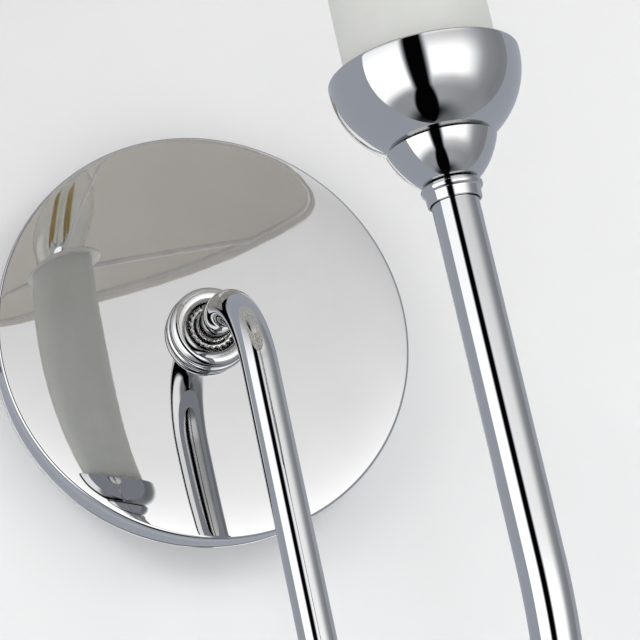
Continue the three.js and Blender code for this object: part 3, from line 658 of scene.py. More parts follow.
def place_piece(piece, body, *nodes):
    """Makes the piece ride on its body in place of its CAD nodes."""
    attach(piece, body)
    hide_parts(*nodes)
    return piece


def lathe(node, look, body, profile, material, centre=None, **how):
    """A turned piece in a CAD node's place, about the candle's axis unless a centre is given."""
    piece = turned(f"{node}_{look}", profile, material, centre=CANDLE if centre is None else centre, **how)
    return place_piece(piece, body, node)


def combine(piece, other, operation, sharp=40):
    """Cuts the other shape out of the piece (DIFFERENCE) or welds it on (UNION), and uses it up."""
    modifier = piece.modifiers.new("combine", "BOOLEAN")
    modifier.operation = operation
    modifier.solver = "EXACT"
    modifier.object = other
    settle(piece, sharp)
    bpy.data.objects.remove(other)


def settle(piece, sharp=40):
    """Turns the piece's modifiers into plain mesh."""
    shape = piece.evaluated_get(bpy.context.evaluated_depsgraph_get())
    mesh = bpy.data.meshes.new_from_object(shape)
    piece.modifiers.clear()
    piece.data = mesh
    mesh.shade_smooth()
    mesh.set_sharp_from_angle(angle=math.radians(sharp))


def block(name, low, high, material, edge=0.25):
    """A slab between two corners with softened edges."""
    corners = [(x, y, z) for x in (low[0], high[0]) for y in (low[1], high[1]) for z in (low[2], high[2])]
    faces = [(0, 1, 3, 2), (4, 6, 7, 5), (0, 4, 5, 1), (2, 3, 7, 6), (0, 2, 6, 4), (1, 5, 7, 3)]
    piece = finish_mesh(name, corners, faces, material)
    bevel = piece.modifiers.new("edges", "BEVEL")
    bevel.width = edge * MM
    bevel.segments = 3
    settle(piece)
    return piece


def in_radians(degrees):
    return [math.radians(angle) for angle in degrees]


def arc_points(x, z, radius, start, end, steps=24):
    """Points on a flat arc about (x, z), its angles in degrees."""
    return [(x + radius * math.cos(t), z + radius * math.sin(t))
            for t in (math.radians(start + (end - start) * i / steps) for i in range(steps + 1))]


def flat_sheet(name, outline, holes, front, back, material, edge=0.2):
    """A sheet standing in X and Z between two depths, its outline and holes given as (x, z) points."""
    curve = bpy.data.curves.new(name, "CURVE")
    curve.dimensions = "2D"
    curve.fill_mode = "BOTH"
    curve.extrude = ((back - front) / 2 - edge) * MM
    curve.bevel_depth = edge * MM
    curve.offset = -edge * MM
    curve.bevel_resolution = 1
    for loop in (outline, *holes):
        spline = curve.splines.new("POLY")
        spline.points.add(len(loop) - 1)
        for point, (x, z) in zip(spline.points, loop):
            point.co = (x * MM, z * MM, 0, 1)
        spline.use_cyclic_u = True
    holder = bpy.data.objects.new(name, curve)
    mesh = bpy.data.meshes.new_from_object(holder)
    middle = (front + back) / 2
    verts = [(v.co.x / MM, v.co.z / MM + middle, v.co.y / MM) for v in mesh.vertices]
    faces = [tuple(face.vertices) for face in mesh.polygons]
    bpy.data.objects.remove(holder)
    bpy.data.meshes.remove(mesh)
    return finish_mesh(name, verts, faces, material)


def hex_nut(name, across_flats, bore, low, high, material, axis="Z", centre=(0, 0, 0)):
    """A nut with its corners cut back to a cone on both faces."""
    chamfer = (across_flats / math.sqrt(3) - across_flats / 2) * 0.62
    cuts = [chamfer * k / 5 for k in range(6)]
    outside = [(across_flats, low + cut) for cut in cuts] + [(across_flats, high - cut) for cut in cuts[::-1]]

    def flats(radius, height, angle):
        if radius < across_flats:
            return radius, height
        off_flat = (angle + math.radians(30)) % math.radians(60) - math.radians(30)
        depth = min(height - low, high - height)
        return min(across_flats / 2 / math.cos(off_flat), across_flats / 2 * 0.985 + depth * 1.73), height

    profile = [(bore + 0.35, low), *outside, (bore + 0.35, high), (bore, high - 0.35), (bore, low + 0.35)]
    return turned(name, profile, material, axis, centre, sides=96, warp=flats, sharp=30)


def threaded(outer, low, high, pitch, depth):
    """A warp that cuts a helical thread into the points at the outer radius, between two heights."""
    def cut(radius, height, angle):
        if radius < outer - 0.01 or not low <= height <= high:
            return radius, height
        wave = 0.5 + 0.5 * math.cos(math.tau * height / pitch - angle)
        ends = min(1.0, (height - low) / pitch, (high - height) / pitch)
        return radius - depth * (1 - wave) * max(ends, 0.0), height
    return cut


def climb(radius, low, high, step):
    """Closely spaced profile points straight up at one radius."""
    count = max(1, round((high - low) / step))
    return [(radius, low + (high - low) * i / count) for i in range(count + 1)]


def quarter_turns(points, count):
    """The points after this many quarter turns."""
    for _ in range(count):
        points = [(-y, x) for x, y in points]
    return points


def screw(node, material, body, shank, head_height, axis="Y", flip=1):
    """A pan-head screw in its CAD node's place, its head's top at the near end, with a cross recess."""
    low, high = span(node)
    along = "XYZ".index(axis[-1])
    length = high[along] - low[along]
    head = (high - low)[(along + 1) % 3] / 2
    centre = (low + high) / 2
    centre[along] = low[along] if flip > 0 else high[along]
    reach = 1.2
    dome = [(math.sin(t), 0.62 * head_height * (1 - math.cos(t)) / (1 - math.cos(reach)))
            for t in (reach * k / 8 for k in range(9))]
    scale = head * 0.97 / dome[-1][0]
    pitch, tip = 0.8, 0.7
    shaft = climb(shank, head_height + 0.1, length - tip, pitch / 7)
    profile = [(r * scale, h) for r, h in dome]
    profile += [(head, head_height * 0.75), (head, head_height - 0.12), (head - 0.15, head_height)]
    profile += [*shaft, (shank * 0.6, length), (0, length)]
    warp = threaded(shank, head_height + 0.1, length - tip, pitch, 0.42)

    def thread_only(radius, height, angle):
        return warp(radius, height, angle) if abs(radius - shank) < 0.01 else (radius, height)

    piece = turned(f"{node}_cut", profile, material, axis, centre, sides=40, warp=thread_only, loop=False,
                   sharp=35)
    arm, width, depth = head * 0.56, head * 0.11, head_height * 0.62
    quarter = [(arm, -width), (arm, width), (width, width)]
    outline = [point for turn in range(4) for point in quarter_turns(quarter, turn)]
    count = len(outline)
    verts = []
    for height, size in ((-0.5, 1.15), (depth, 0.5)):
        verts += [AXES[axis] @ Vector((x * size, y * size, height)) + centre for x, y in outline]
    faces = [tuple(range(count)), tuple(range(count, 2 * count))]
    faces += [(i, (i + 1) % count, count + (i + 1) % count, count + i) for i in range(count)]
    combine(piece, finish_mesh(f"{node}_recess", verts, faces, material), "DIFFERENCE", 35)
    place_piece(piece, body, node)


# ---- backplate ----
def backplate():
    """A pan whose face falls back a little towards its rounded edge."""
    edge_round, steps, edge_steps = 1.0, 44, 8
    reach = PLATE_RADIUS - edge_round
    inner = PLATE_RADIUS - PLATE_WALL

    def face(radius):
        return PLATE_FACE_Y + PLATE_EDGE_DROP * (radius / PLATE_RADIUS) ** 8

    radii = [HUB_BORE + (reach - HUB_BORE) * i / steps for i in range(steps + 1)]
    outside = [(radius, face(radius)) for radius in radii]
    outside += [(reach + edge_round * math.sin(t), face(reach) + edge_round * (1 - math.cos(t)))
                for t in (i * math.pi / 2 / edge_steps for i in range(1, edge_steps + 1))]
    corner_y = face(PLATE_RADIUS) + 1.6 * PLATE_WALL
    back = rounded([(PLATE_RADIUS, 0, 0.25), (inner, 0, 0.25), (inner, corner_y, 0.8),
                    (45, face(45) + PLATE_WALL), (HUB_BORE, PLATE_FACE_Y + PLATE_WALL)])
    lathe("backplate", "polished", "wall_plate", outside + back, CHROME, HUB, axis="Y", sides=192)


backplate()


# ---- hub ----
def hub():
    """The fixed ring, the cup with a rolled lip that turns with the arm, and the toothed ring inside it."""
    low, high = span("hub_base_ring")
    radius, edge = high.x, 0.9
    profile = rounded([(HUB_BORE, low.y), (radius, low.y, edge), (radius, high.y, 0.12), (HUB_BORE, high.y)],
                      steps=12)
    lathe("hub_base_ring", "polished", "wall_plate", profile, CHROME, HUB, axis="Y", sides=160)

    back_y = span("hub_cup")[1].y
    roll_radius, roll_y, roll = 9.3, -17.4, 2.15
    lip = [(roll_radius + roll * math.cos(t), roll_y + roll * math.sin(t))
           for t in in_radians(range(24, -91, -6))]
    hollow = [(8.7, -19.52), (8.15, -19.42), (7.65, -19.2), (7.3, -18.85), (7.08, -18.4), (6.95, -17.9),
              (6.8, -17.4), (6.5, -17.05), (6.05, -16.86)]
    profile = [(HUB_BORE, back_y), (10.2, back_y), (10.45, -16.35)] + lip + hollow + [(HUB_BORE, -16.8)]
    lathe("hub_cup", "polished", "arm", profile, CHROME, HUB, axis="Y", sides=160)

    teeth, tooth = 22, 0.42

    def knurl(r, y, angle):
        swell = 0.5 + 0.5 * math.cos(teeth * angle)
        return (r - tooth * (1 - swell) if r > 5.6 else r), y

    low, high = span("tube_lock_ring")
    profile = rounded([(HUB_BORE, low.y, 0.2), (6.15, low.y, 0.45), (6.2, high.y, 0.3),
                       (HUB_BORE, high.y, 0.1)], steps=4)
    lathe("tube_lock_ring", "knurled", "arm", profile, CHROME, HUB, axis="Y", sides=teeth * 12, warp=knurl,
          sharp=60)


hub()


# ---- arm ----
def arm_route(start_y, end_z, across=0.0, outward=0.0, fine=3.0):
    """Points along the arm's middle line, or along a lead that keeps its distance from it."""
    hook_start_y = LEG_NEAR_Y + HOOK_RADIUS
    u_radius = (LEG_NEAR_Y - CANDLE_Y) / 2
    u_middle = (LEG_NEAR_Y + CANDLE_Y) / 2
    points = []

    def line(y0, z0, y1, z1):
        steps = max(1, round(math.hypot(y1 - y0, z1 - z0) / 8))
        for i in range(steps):
            points.append(Vector((across, y0 + (y1 - y0) * i / steps, z0 + (z1 - z0) * i / steps)))

    def bend(centre_y, centre_z, radius, start, end):
        steps = max(8, round(abs(end - start) / fine))
        for i in range(steps):
            t = math.radians(start + (end - start) * i / steps)
            points.append(Vector((across, centre_y + radius * math.cos(t), centre_z + radius * math.sin(t))))

    line(start_y, outward, hook_start_y, outward)
    bend(hook_start_y, -HOOK_RADIUS, HOOK_RADIUS + outward, 90, 180)
    line(LEG_NEAR_Y - outward, -HOOK_RADIUS, LEG_NEAR_Y - outward, U_CENTRE_Z)
    bend(u_middle, U_CENTRE_Z, u_radius - outward, 0, -180)
    line(CANDLE_Y + outward, U_CENTRE_Z, CANDLE_Y + outward, end_z)
    points.append(Vector((across, CANDLE_Y + outward, end_z)))
    return points


def arm():
    route = arm_route(TUBE_START_Y, TUBE_TOP_Z, fine=2.0)
    tube = swept("arm_tube_polished", route, TUBE_RADIUS, CHROME, sides=64, bore=TUBE_BORE)
    place_piece(tube, "arm", "arm_tube")


arm()


# ---- candle cup ----
def candle_cup():
    """The bead on top of the tube and the two bowls."""
    bore, wall = 3.7, 1.0
    bead_radius, bead_z, bead = 5.2, -31.1, 1.0
    neck = rounded([(5.06, -34, 0.1), (5.45, -34, 0.15), (5.55, -32.4, 0.3)], loop=False)
    neck += [(bead_radius + bead * math.cos(t), bead_z + bead * math.sin(t))
             for t in in_radians(range(-65, 91, 8))]
    neck += [(bore, -30.1), (bore, -32.7), (5.06, -32.7)]
    lathe("neck_ring", "polished", "arm", neck, CHROME)

    low, high = span("small_bowl")
    middle_z, width, depth, brim_z = -14.4, 12.4, 17.4, high.z - 0.15
    outer = oval(middle_z, width, depth, low.z, brim_z, 26)
    inner = oval(middle_z, width - wall, depth - wall, low.z + wall, brim_z, 16)[::-1]
    profile = [(bore, low.z)] + outer + [(10.9, high.z), (10.4, high.z)] + inner + [(bore, low.z + wall)]
    lathe("small_bowl", "polished", "arm", profile, CHROME, sides=160)

    low = span("big_bowl")[0]
    middle_z, width, depth, lip_z, lip = -6.2, 19.3, 18.2, -5.8, 0.5
    outer = oval(middle_z, width, depth, low.z, middle_z, 40)
    brim = [(width - lip + lip * math.cos(t), lip_z + lip * math.sin(t))
            for t in in_radians(range(0, 181, 20))]
    inner = oval(middle_z, width - wall, depth - wall, low.z + wall, middle_z, 30)[::-1]
    profile = [(bore, low.z)] + outer + brim + inner + [(bore, low.z + wall)]
    lathe("big_bowl", "polished", "arm", profile, CHROME, sides=192)


candle_cup()


def candle_sleeve():
    low, high = SLEEVE_LOW, SLEEVE_HIGH
    outer, inner = high.x, 14.8
    profile = rounded([(inner, low.z, 0.15), (outer, low.z, 0.25), (outer, high.z, 0.28),
                       (inner, high.z, 0.22)])
    lathe("candle_sleeve", "satin", "arm", profile, SLEEVE_WHITE, sides=144)


candle_sleeve()


# ---- behind the plate ----
def mounting_strap():
    """A slotted bar with a round middle, and ears at both ends that the side screws pull on."""
    low, high = span("mounting_strap")
    half, height, corner = high.x, 9.0, 2.0
    slot_x, slot_half, slot_radius, hole_x, hole_radius = 41, 5.4, 2.6, -25, 2.3
    bar = []
    for start, side_x, side_z in ((0, 1, 1), (90, -1, 1), (180, -1, -1), (270, 1, -1)):
        bar += arc_points(side_x * (half - corner), side_z * (height - corner), corner, start, start + 90, 6)
    holes = [arc_points(x + slot_half, 0, slot_radius, -90, 90, 12)
             + arc_points(x - slot_half, 0, slot_radius, 90, 270, 12) for x in (-slot_x, slot_x)]
    holes.append(arc_points(hole_x, 0, hole_radius, 0, 345, 23))
    front = -STRAP_THICKNESS
    strap = flat_sheet("mounting_strap_pressed", bar, holes, front, 0, STEEL)
    combine(strap, flat_sheet("strap_disc", arc_points(0, 0, 17, 0, 354, 59), [], front, 0, STEEL), "UNION")
    hole = turned("strap_hole", [(0, -4), (12.5, -4), (12.5, 3), (0, 3)], STEEL, "Y", sides=96, loop=False)
    combine(strap, hole, "DIFFERENCE")
    for side in (-1, 1):
        inner, outer = sorted((side * half, side * (half - STRAP_THICKNESS)))
        combine(strap, block("strap_ear", (inner, low.y, -6), (outer, -0.05, 6), STEEL, 0.3), "UNION")
        bore = turned("ear_hole", [(0, -4), (2.3, -4), (2.3, 4), (0, 4)], STEEL, "X",
                      (side * (half - STRAP_THICKNESS / 2), -6, 0), sides=32, loop=False)
        combine(strap, bore, "DIFFERENCE")
    place_piece(strap, "wall_plate", "mounting_strap")


mounting_strap()


def wall_screws():
    for side in ("left", "right"):
        screw(f"box_screw_{side}", STEEL, "wall_plate", 2.0, 2.6)
    screw("ground_screw", GREEN_METAL, "wall_plate", 1.9, 2.0)
    screw("side_screw_left", CHROME, "wall_plate", 1.95, 1.8, axis="X")
    screw("side_screw_right", CHROME, "wall_plate", 1.95, 1.8, axis="-X", flip=-1)


wall_screws()


def ground_lug():
    """A ring tongue under the earth screw, open towards its wire."""
    low, high = span("ground_lug")
    centre_x, tongue, hole_radius = -25.0, 1.5, 2.3
    radius = centre_x - low.x
    angle = math.degrees(math.asin(tongue / radius))
    outline = arc_points(centre_x, 0, radius, angle, 360 - angle, 40) + [(high.x, -tongue), (high.x, tongue)]
    hole = arc_points(centre_x, 0, hole_radius, 0, 348, 29)
    lug = flat_sheet("ground_lug_crimped", outline, [hole], low.y, high.y, STEEL, 0.12)
    place_piece(lug, "wall_plate", "ground_lug")


ground_lug()


def connectors():
    """Two screw-on wire connectors, ribbed caps with a hollow skirt."""
    ribs, rib = 14, 0.32
    for side in ("live", "neutral"):
        node = f"wire_connector_{side}"
        low, high = span(node)
        middle = (low + high) / 2
        radius, length = (high.x - low.x) / 2, high.z - low.z

        def ribbed(r, z, angle):
            grip = 0.5 + 0.5 * math.cos(ribs * angle)
            return (r - rib * (1 - grip) if r > radius * 0.5 and z > 0.6 else r), z

        skirt = [(radius * 0.62, 0.3), (radius * 0.7, 0), (radius * 0.97, 0), (radius, 0.4), (radius, 1.2)]
        body = [(radius * (1 - 0.03 * t), 1.2 + 5.0 * t) for t in (k / 8 for k in range(1, 9))]
        cone = [(radius * (0.97 - 0.35 * math.sin(t * math.pi / 2) ** 1.3), 6.2 + (length * 0.9 - 6.2) * t)
                for t in (k / 12 for k in range(1, 13))]
        tip = [(radius * 0.6 * math.cos(t), length * (0.93 + 0.07 * math.sin(t)))
               for t in (k * math.pi / 2 / 6 for k in range(6))]
        inside = [(0, length * 0.5), (radius * 0.3, length * 0.45), (radius * 0.6, 1.5)]
        profile = [*skirt, *body, *cone, *tip, (0, length), *inside]
        lathe(node, "ribbed", "wall_plate", profile, CONNECTOR, (middle.x, middle.y, low.z), sides=140,
              warp=ribbed, sharp=50)


connectors()


# ---- swivel ----
def washer(node, bore, material, body):
    """A flat washer in its CAD node's place, with softened edges."""
    low, high = span(node)
    outer, soft = high.x, 0.12
    profile = rounded([(bore, low.y, soft), (outer, low.y, soft), (outer, high.y, soft),
                       (bore, high.y, soft)], steps=3)
    lathe(node, "moulded", body, profile, material, HUB, axis="Y", sides=96)


def threaded_pipe(node, radius, bore, low, high, edge, depth, **how):
    """A threaded length of pipe with its ends eased."""
    lead, inner_edge = 0.3, 0.2
    outside = climb(radius, low + lead, high - lead, 0.13)
    profile = [(bore + edge[0], low), (radius - edge[1], low), *outside, (radius - edge[1], high),
               (bore + edge[0], high), (bore, high - inner_edge), (bore, low + inner_edge)]
    warp = threaded(radius, low + lead, high - lead, PIPE_PITCH, depth)
    lathe(node, "threaded", "arm", profile, BRASS, warp=warp, **how)


def swivel():
    """The hollow shaft and what holds, stops and brakes it."""
    low, high = span("stop_pin")
    profile = rounded([(0, low.y), (high.x, low.y, 0.3), (high.x, high.y, 0.3), (0, high.y)], loop=False)
    middle = (0, 0, (low.z + high.z) / 2)
    lathe("stop_pin", "ground", "wall_plate", profile, STEEL, middle, axis="Y", sides=32, loop=False)
    running, fitted = SHAFT_RADIUS + 0.35, SHAFT_RADIUS + 0.3
    washer("rear_friction_washer", running, NYLON, "wall_plate")
    washer("front_friction_washer", running, NYLON, "wall_plate")
    threaded_pipe("swivel_shaft", SHAFT_RADIUS, 3.25, SHAFT_FRONT_Y, SHAFT_BACK_Y, (0.2, 0.3), 0.28,
                  centre=HUB, axis="Y", sides=72)

    low, high = span("stop_washer")
    wide, narrow, reach = 11.4, 7.9, 82
    outline = arc_points(0, 0, wide, -90 - reach, -90 + reach, 40)
    outline += arc_points(0, 0, narrow, -90 + reach, 270 - reach, 48)
    hole = arc_points(0, 0, fitted, 0, 355, 71)
    stop = flat_sheet("stop_washer_pressed", outline, [hole], low.y, high.y, STEEL, 0.12)
    place_piece(stop, "arm", "stop_washer")

    low, high = span("spring_washer")
    inner, outer, thick, edge, flat = fitted, high.x, 0.5, 0.1, 0.6
    bowed = [(inner, low.y + edge), (inner + edge, low.y), (inner + flat, low.y),
             (outer - edge, high.y - thick), (outer, high.y - thick + edge), (outer, high.y - edge),
             (outer - edge, high.y), (outer - flat, high.y), (inner + edge, low.y + thick),
             (inner, low.y + thick - edge)]
    lathe("spring_washer", "bowed", "arm", bowed, STEEL, HUB, axis="Y", sides=96)

    low, high = span("lock_nut")
    place_piece(hex_nut("lock_nut_cut", 14.3, fitted, low.y, high.y, BRASS, "Y"), "arm", "lock_nut")


swivel()


# ---- inside the candle ----
def cup_fastening():
    """The nipple through the bowls and the two nuts on it."""
    low, high = span("cup_nipple")
    threaded_pipe("cup_nipple", NIPPLE_RADIUS, 2.65, low.z, high.z, (0.15, 0.25), 0.25, sides=56)
    for node in ("cup_nut", "socket_nut"):
        low, high = span(node)
        nut = hex_nut(f"{node}_cut", 11, NIPPLE_RADIUS + 0.3, low.z, high.z, BRASS, centre=CANDLE)
        place_piece(nut, "arm", node)


cup_fastening()


def socket_leg():
    """A bent strip from the nipple up to the ring that holds the socket."""
    low, high = span("socket_leg")
    thick, hole_radius = 1.2, NIPPLE_RADIUS + 0.3
    foot_left, foot_right, foot_half, leg_x, leg_half, ring_bore, ring_radius = -8.2, 10.8, 5, 9.6, 4, 6, 12
    leg = block("socket_leg_bent", (foot_left, CANDLE_Y - foot_half, low.z),
                (foot_right, CANDLE_Y + foot_half, low.z + thick), STEEL, 0.3)
    upright = block("leg_upright", (leg_x, CANDLE_Y - leg_half, low.z + 0.05),
                    (leg_x + thick, CANDLE_Y + leg_half, high.z - 0.05), STEEL, 0.3)
    combine(leg, upright, "UNION")
    section = rounded([(ring_bore, high.z - thick, 0.2), (ring_radius, high.z - thick, 0.2),
                       (ring_radius, high.z, 0.2), (ring_bore, high.z, 0.2)])
    combine(leg, turned("leg_ring", section, STEEL, centre=CANDLE, sides=96), "UNION")
    section = [(0, low.z - 2), (hole_radius, low.z - 2), (hole_radius, low.z + 4), (0, low.z + 4)]
    hole = turned("leg_hole", section, STEEL, centre=CANDLE, sides=48, loop=False)
    combine(leg, hole, "DIFFERENCE")
    place_piece(leg, "arm", "socket_leg")


socket_leg()


def socket():
    """The moulded body, the rolled screw shell inside it and the sprung contact on its floor."""
    low, high = span("socket_body")
    radius, bore, floor_z = high.x, 13.8, 56.0
    profile = rounded([(0, low.z), (radius - 1, low.z, 0.4), (radius, low.z + 1, 0.4), (radius, high.z, 0.25),
                       (bore, high.z, 0.25), (bore, floor_z, 0.6), (0, floor_z)], loop=False)
    lathe("socket_body", "moulded", "arm", profile, PHENOLIC, loop=False)

    low, high = span("socket_screw_shell")
    outer, wall, swell, foot = high.x, 0.35, 0.14, 6

    def rolled(radius, height, angle):
        if height < low.z + 2 or height > high.z - 0.8:
            return radius, height
        return radius - swell * (0.5 - 0.5 * math.cos(math.tau * height / BULB_PITCH - angle)), height

    outside = climb(outer, low.z + 0.5, high.z - 0.2, 0.45)
    inside = climb(outer - wall, low.z + 0.6, high.z - 0.2, 0.45)[::-1]
    profile = [(foot, low.z), (outer - 0.5, low.z), *outside, (outer - wall / 2, high.z), *inside,
               (foot, low.z + 0.5)]
    lathe("socket_screw_shell", "rolled", "arm", profile, BRASS, sides=96, warp=rolled)

    low, high = span("socket_contact")
    radius, height = high.x, high.z - low.z
    tongue = [(0, low.z), (radius - 0.1, low.z), (radius, low.z + 0.1), (radius, low.z + 0.4),
              (radius - 0.3, low.z + 0.55), (3.2, low.z + 0.9), (2.4, low.z + height * 0.85),
              (1.4, high.z - 0.05), (0, high.z)]
    lathe("socket_contact", "sprung", "arm", tongue, BRASS, sides=64, loop=False)


socket()


# ---- bulb ----
def bulb_base():
    """The soldered contact, the glass insulator and the rolled screw base."""
    low, high = span("bulb_contact")
    radius, bulge = high.x, (high.z - low.z) * 0.8
    blob = [(0, low.z)]
    blob += [(radius * math.sin(t) ** 0.9, low.z + bulge * (1 - math.cos(t)))
             for t in (k * math.pi / 2 / 10 for k in range(1, 11))]
    blob += [(radius, high.z), (0, high.z)]
    lathe("bulb_contact", "soldered", "bulb", blob, SOLDER, sides=64, loop=False)

    low, high = span("bulb_insulator")
    radius = high.x
    profile = rounded([(0, low.z), (5, low.z, 0.5), (radius, low.z + 2.6, 0.8), (radius, high.z, 0.2),
                       (0, high.z)], loop=False)
    lathe("bulb_insulator", "glazed", "bulb", profile, BLACK_GLASS, sides=96, loop=False)

    low, high = span("bulb_screw_base")
    outer, depth, wall = high.x, 0.75, 0.3
    start, end = low.z + 1.6, high.z - 3.2

    def thread(radius, height, angle):
        if radius < 11 or not start < height < end:
            return radius, height
        ease = min(1.0, (height - start) / 2, (end - height) / 2)
        wave = 0.5 - 0.5 * math.cos(math.tau * height / BULB_PITCH - angle)
        return radius - depth * wave * ease, height

    outside = climb(outer, low.z + 1.7, high.z - 0.3, 0.33)
    inside = climb(outer - wall, low.z + 1.7, high.z - 0.3, 0.33)[::-1]
    profile = [(9, low.z), (11.3, low.z), (12.3, low.z + 0.6), *outside, (outer - wall / 2, high.z), *inside,
               (11.9, low.z + 0.9), (11.1, low.z + 0.4), (9, low.z + 0.4)]
    lathe("bulb_screw_base", "rolled", "bulb", profile, NICKEL, sides=120, warp=thread)


bulb_base()


def bulb_glass():
    low, high = span("bulb_glass")
    neck, widest, widest_z, neck_top, thick = 12.1, high.x, 110.0, 87.0, 0.7

    def envelope(inset):
        points = [(neck - inset, low.z + 0.4), (neck - inset, neck_top)]
        for t in (k / 20 for k in range(1, 21)):
            flare = (widest - neck) * (1 - math.cos(math.pi * t)) / 2
            points.append((neck + flare - inset, neck_top + (widest_z - neck_top) * t))
        height = high.z - inset - widest_z
        for t in (k / 36 * math.pi / 2 for k in range(1, 36)):
            points.append(((widest - inset) * math.cos(t) ** 1.15, widest_z + height * math.sin(t)))
        return points + [(0, high.z - inset)]

    profile = envelope(0) + envelope(thick)[::-1] + [(neck - thick / 2, low.z)]
    lathe("bulb_glass", "blown", "bulb", profile, GLASS, sides=96)


bulb_glass()


def bulb_stem():
    low, high = span("bulb_stem")
    flare = [(0, low.z + 0.6), (8.6, low.z), (9.5, low.z + 0.3), (9.4, low.z + 1.1)]
    flare += [(3.2 + 6.2 * math.exp(-t * 3.2), low.z + 1.1 + 14 * t) for t in (k / 14 for k in range(1, 15))]
    rod = rounded([(3.1, 95, 1.0), (1.0, 98, 0.8), (1.0, high.z, 0.9), (0, high.z)], loop=False)
    lathe("bulb_stem", "drawn", "bulb", flare + rod, GLASS, sides=64, loop=False)


bulb_stem()


def filaments():
    """Four coated rods with capped ends, and the fine wires that carry them, the wires welded into one piece.
    """
    cap, shoulder, cap_share = 2.2, 2.4, 0.7
    wires = []
    for i in range(4):
        node = f"bulb_filament_{i + 1}"
        low, high = span(node)
        middle = (low + high) / 2
        radius, length = (high.x - low.x) / 2, high.z - low.z
        thin = radius * cap_share
        profile = rounded([(0, 0), (thin, 0, 0.2), (thin, cap, 0.1), (radius, shoulder, 0.2),
                           (radius, length - shoulder, 0.2), (thin, length - cap, 0.1), (thin, length, 0.2),
                           (0, length)], loop=False, steps=4)
        lathe(node, "coated", "bulb", profile, FILAMENT, (middle.x, middle.y, low.z), sides=24, loop=False)
        inward = Vector((-middle.x, CANDLE_Y - middle.y, 0)).normalized()
        for end, drop in ((low.z, -3.5), (high.z, 3.0)):
            tip = Vector((middle.x, middle.y, end - math.copysign(0.2, drop)))
            elbow = Vector((middle.x, middle.y, end + drop * 0.45))
            root = Vector((0, CANDLE_Y, end + drop)) - inward * 0.7
            curve = [tip.lerp(elbow, t) * (1 - t) + elbow.lerp(root, t) * t
                     for t in (k / 10 for k in range(11))]
            wires.append(swept("wire" if wires else "bulb_support_wires", curve, 0.22, NICKEL, sides=10))
    carrier, *others = wires
    for wire in others:
        combine(carrier, wire, "UNION")
    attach(carrier, "bulb")


filaments()


# ---- shade ----
SHADE_LOW, SHADE_HIGH = span("shade_cover")
SHADE_RADIUS = SHADE_HIGH.x
SHADE_TOP_RADIUS = 108.0
SHADE_WALL = 0.8
SHADE_WIRE = 1.2
SHADE_HEIGHT = SHADE_HIGH.z - SHADE_LOW.z


def shade_radius(z):
    return SHADE_RADIUS - (SHADE_RADIUS - SHADE_TOP_RADIUS) * (z - SHADE_LOW.z) / SHADE_HEIGHT


def shade_cover():
    """Linen on a stiff lining, turned over the rims top and bottom, with one lapped joint up the back."""
    hem, proud, lap, lap_height = 6.0, 0.16, 7.0, 0.22
    low, high = SHADE_LOW.z, SHADE_HIGH.z
    inner, middle, inner_hem = SHADE_WALL + proud, SHADE_WALL * 0.7, hem * 1.3

    def wall_line(inset, low_z, high_z, steps):
        heights = [low_z + (high_z - low_z) * k / steps for k in range(steps + 1)]
        return [(shade_radius(z) - inset, z) for z in heights]

    outside = wall_line(0, low + 0.7, low + hem, 2)
    outside += wall_line(proud, low + hem + 0.35, high - hem - 0.35, 30)
    outside += wall_line(0, high - hem, high - 0.7, 2)
    inside = wall_line(inner, high - 0.7, high - inner_hem, 2)
    inside += wall_line(inner - proud, high - inner_hem - 0.3, low + inner_hem + 0.3, 2)
    inside += wall_line(inner, low + inner_hem, low + 0.7, 2)
    top, bottom = shade_radius(high), shade_radius(low)
    top_edge = [(top - 0.25, high - 0.2), (top - middle, high), (top - inner + 0.2, high - 0.25)]
    low_edge = [(bottom - inner + 0.2, low + 0.25), (bottom - middle, low), (bottom - 0.25, low + 0.2)]

    def lapped(radius, height, angle):
        off = abs((angle - math.pi / 2 + math.pi) % math.tau - math.pi) * radius
        on_outside = radius > shade_radius(height) - proud - 0.05
        in_lap = on_outside and off < lap / 2 and low + hem < height < high - hem
        return (radius + (lap_height if in_lap else 0)), height

    return lathe("shade_cover", "linen", "shade", outside + top_edge + inside + low_edge, LINEN, sides=360,
                 warp=lapped, sharp=50)


def wire_ring(name, radius, z):
    section = [k * math.tau / 20 for k in range(20)]
    profile = [(radius + SHADE_WIRE * math.cos(t), z + SHADE_WIRE * math.sin(t)) for t in section]
    return turned(name, profile, WHITE_METAL, centre=CANDLE, sides=240)


def shade_frame():
    """The ring inside the top rim, and the lower ring with three spokes and the collar on the sleeve."""
    rim_inset = SHADE_WALL + 0.3 + SHADE_WIRE
    top = wire_ring("shade_top_ring_coated", span("shade_top_ring")[1].x - SHADE_WIRE, SHADE_HIGH.z - 3)
    place_piece(top, "shade", "shade_top_ring")
    ring_z = SHADE_LOW.z + 3
    fitter = wire_ring("shade_fitter_welded", shade_radius(ring_z) - rim_inset, ring_z)
    low_z = span("shade_fitter")[0].z
    bore, outer, thick = 13.2, 19, 1.2
    section = rounded([(bore, low_z, 0.3), (outer, low_z, 0.5), (outer, low_z + thick, 0.5),
                       (bore, low_z + thick, 0.3)])
    combine(fitter, turned("fitter_collar", section, WHITE_METAL, centre=CANDLE, sides=128), "UNION")
    for i in range(3):
        angle = math.radians(120 * i + 90)
        out = Vector((math.cos(angle), math.sin(angle), 0))
        near = Vector(CANDLE) + out * (outer - 1) + Vector((0, 0, low_z + thick / 2))
        far = Vector(CANDLE) + out * (shade_radius(ring_z) - rim_inset) + Vector((0, 0, ring_z))
        spoke = swept("spoke", [near.lerp(far, k / 12) for k in range(13)], 1.1, WHITE_METAL, sides=20)
        combine(fitter, spoke, "UNION")
    place_piece(fitter, "shade", "shade_fitter")
    return top, fitter


shade_rests_on = shade_frame()
shade_linen = shade_cover()


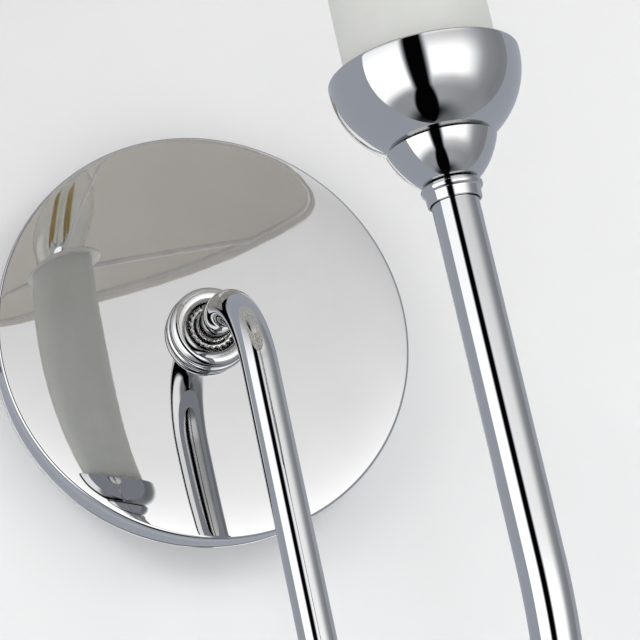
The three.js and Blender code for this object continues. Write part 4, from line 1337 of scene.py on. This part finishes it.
# ---- leads ----
def smooth_route(points, steps=10):
    """A centripetal Catmull-Rom curve through the points."""
    points = [Vector(p) for p in points]
    run = [2 * points[0] - points[1], *points, 2 * points[-1] - points[-2]]
    route = []
    for p0, p1, p2, p3 in zip(run, run[1:], run[2:], run[3:]):
        t0 = 0.0
        t1 = t0 + (p1 - p0).length ** 0.5
        t2 = t1 + (p2 - p1).length ** 0.5
        t3 = t2 + (p3 - p2).length ** 0.5
        for k in range(steps):
            t = t1 + (t2 - t1) * k / steps
            a1 = p0.lerp(p1, (t - t0) / (t1 - t0))
            a2 = p1.lerp(p2, (t - t1) / (t2 - t1))
            a3 = p2.lerp(p3, (t - t2) / (t3 - t2))
            b1 = a1.lerp(a2, (t - t0) / (t2 - t0))
            b2 = a2.lerp(a3, (t - t1) / (t3 - t1))
            route.append(b1.lerp(b2, (t - t1) / (t2 - t1)))
    return route + [points[-1]]


LEAD_RADIUS = 0.95
LEAD_OFFSET = 1.35
CONNECTOR_X, CONNECTOR_Y = 13.0, -6.2
CONNECTOR_Z = span("wire_connector_live")[0].z


def to_connector(side):
    """The way from the shaft to the wire connector on one side."""
    top = (side * CONNECTOR_X, CONNECTOR_Y, CONNECTOR_Z + 1)
    return [(side * 7, -1.9, 6), (side * 10.5, -3.4, 13.5), (side * CONNECTOR_X, -5.6, 22), top]


# Each lead's direction from the shaft's axis in degrees, the height of its top end, and its way behind the
# plate.
LEADS = {
    "live": (30, 43.7, to_connector(1)),
    "neutral": (150, 43.7, to_connector(-1)),
    "ground": (270, -6.0, [(-6, -1.9, -2.4), (-11, -3.1, -1.4), (-16.2, -3.1, 0)]),
}


def leads():
    """Each lead is one piece from behind the plate, through the turning shaft, to the top of the arm."""
    for name, (degrees, top_z, canopy) in LEADS.items():
        across = LEAD_OFFSET * math.cos(math.radians(degrees))
        outward = LEAD_OFFSET * math.sin(math.radians(degrees))
        spread = 1.3
        behind = [(across, SHAFT_BACK_Y + 0.3, outward),
                  (across * spread, SHAFT_BACK_Y + 2, outward * spread), *canopy]
        route = smooth_route(behind)[::-1] + arm_route(SHAFT_BACK_Y, top_z, across, outward)
        lead = swept(f"lead_{name}", route, LEAD_RADIUS, INSULATION[name], sides=16)
        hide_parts(f"arm_lead_{name}", f"canopy_lead_{name}")
        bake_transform(lead)


leads()
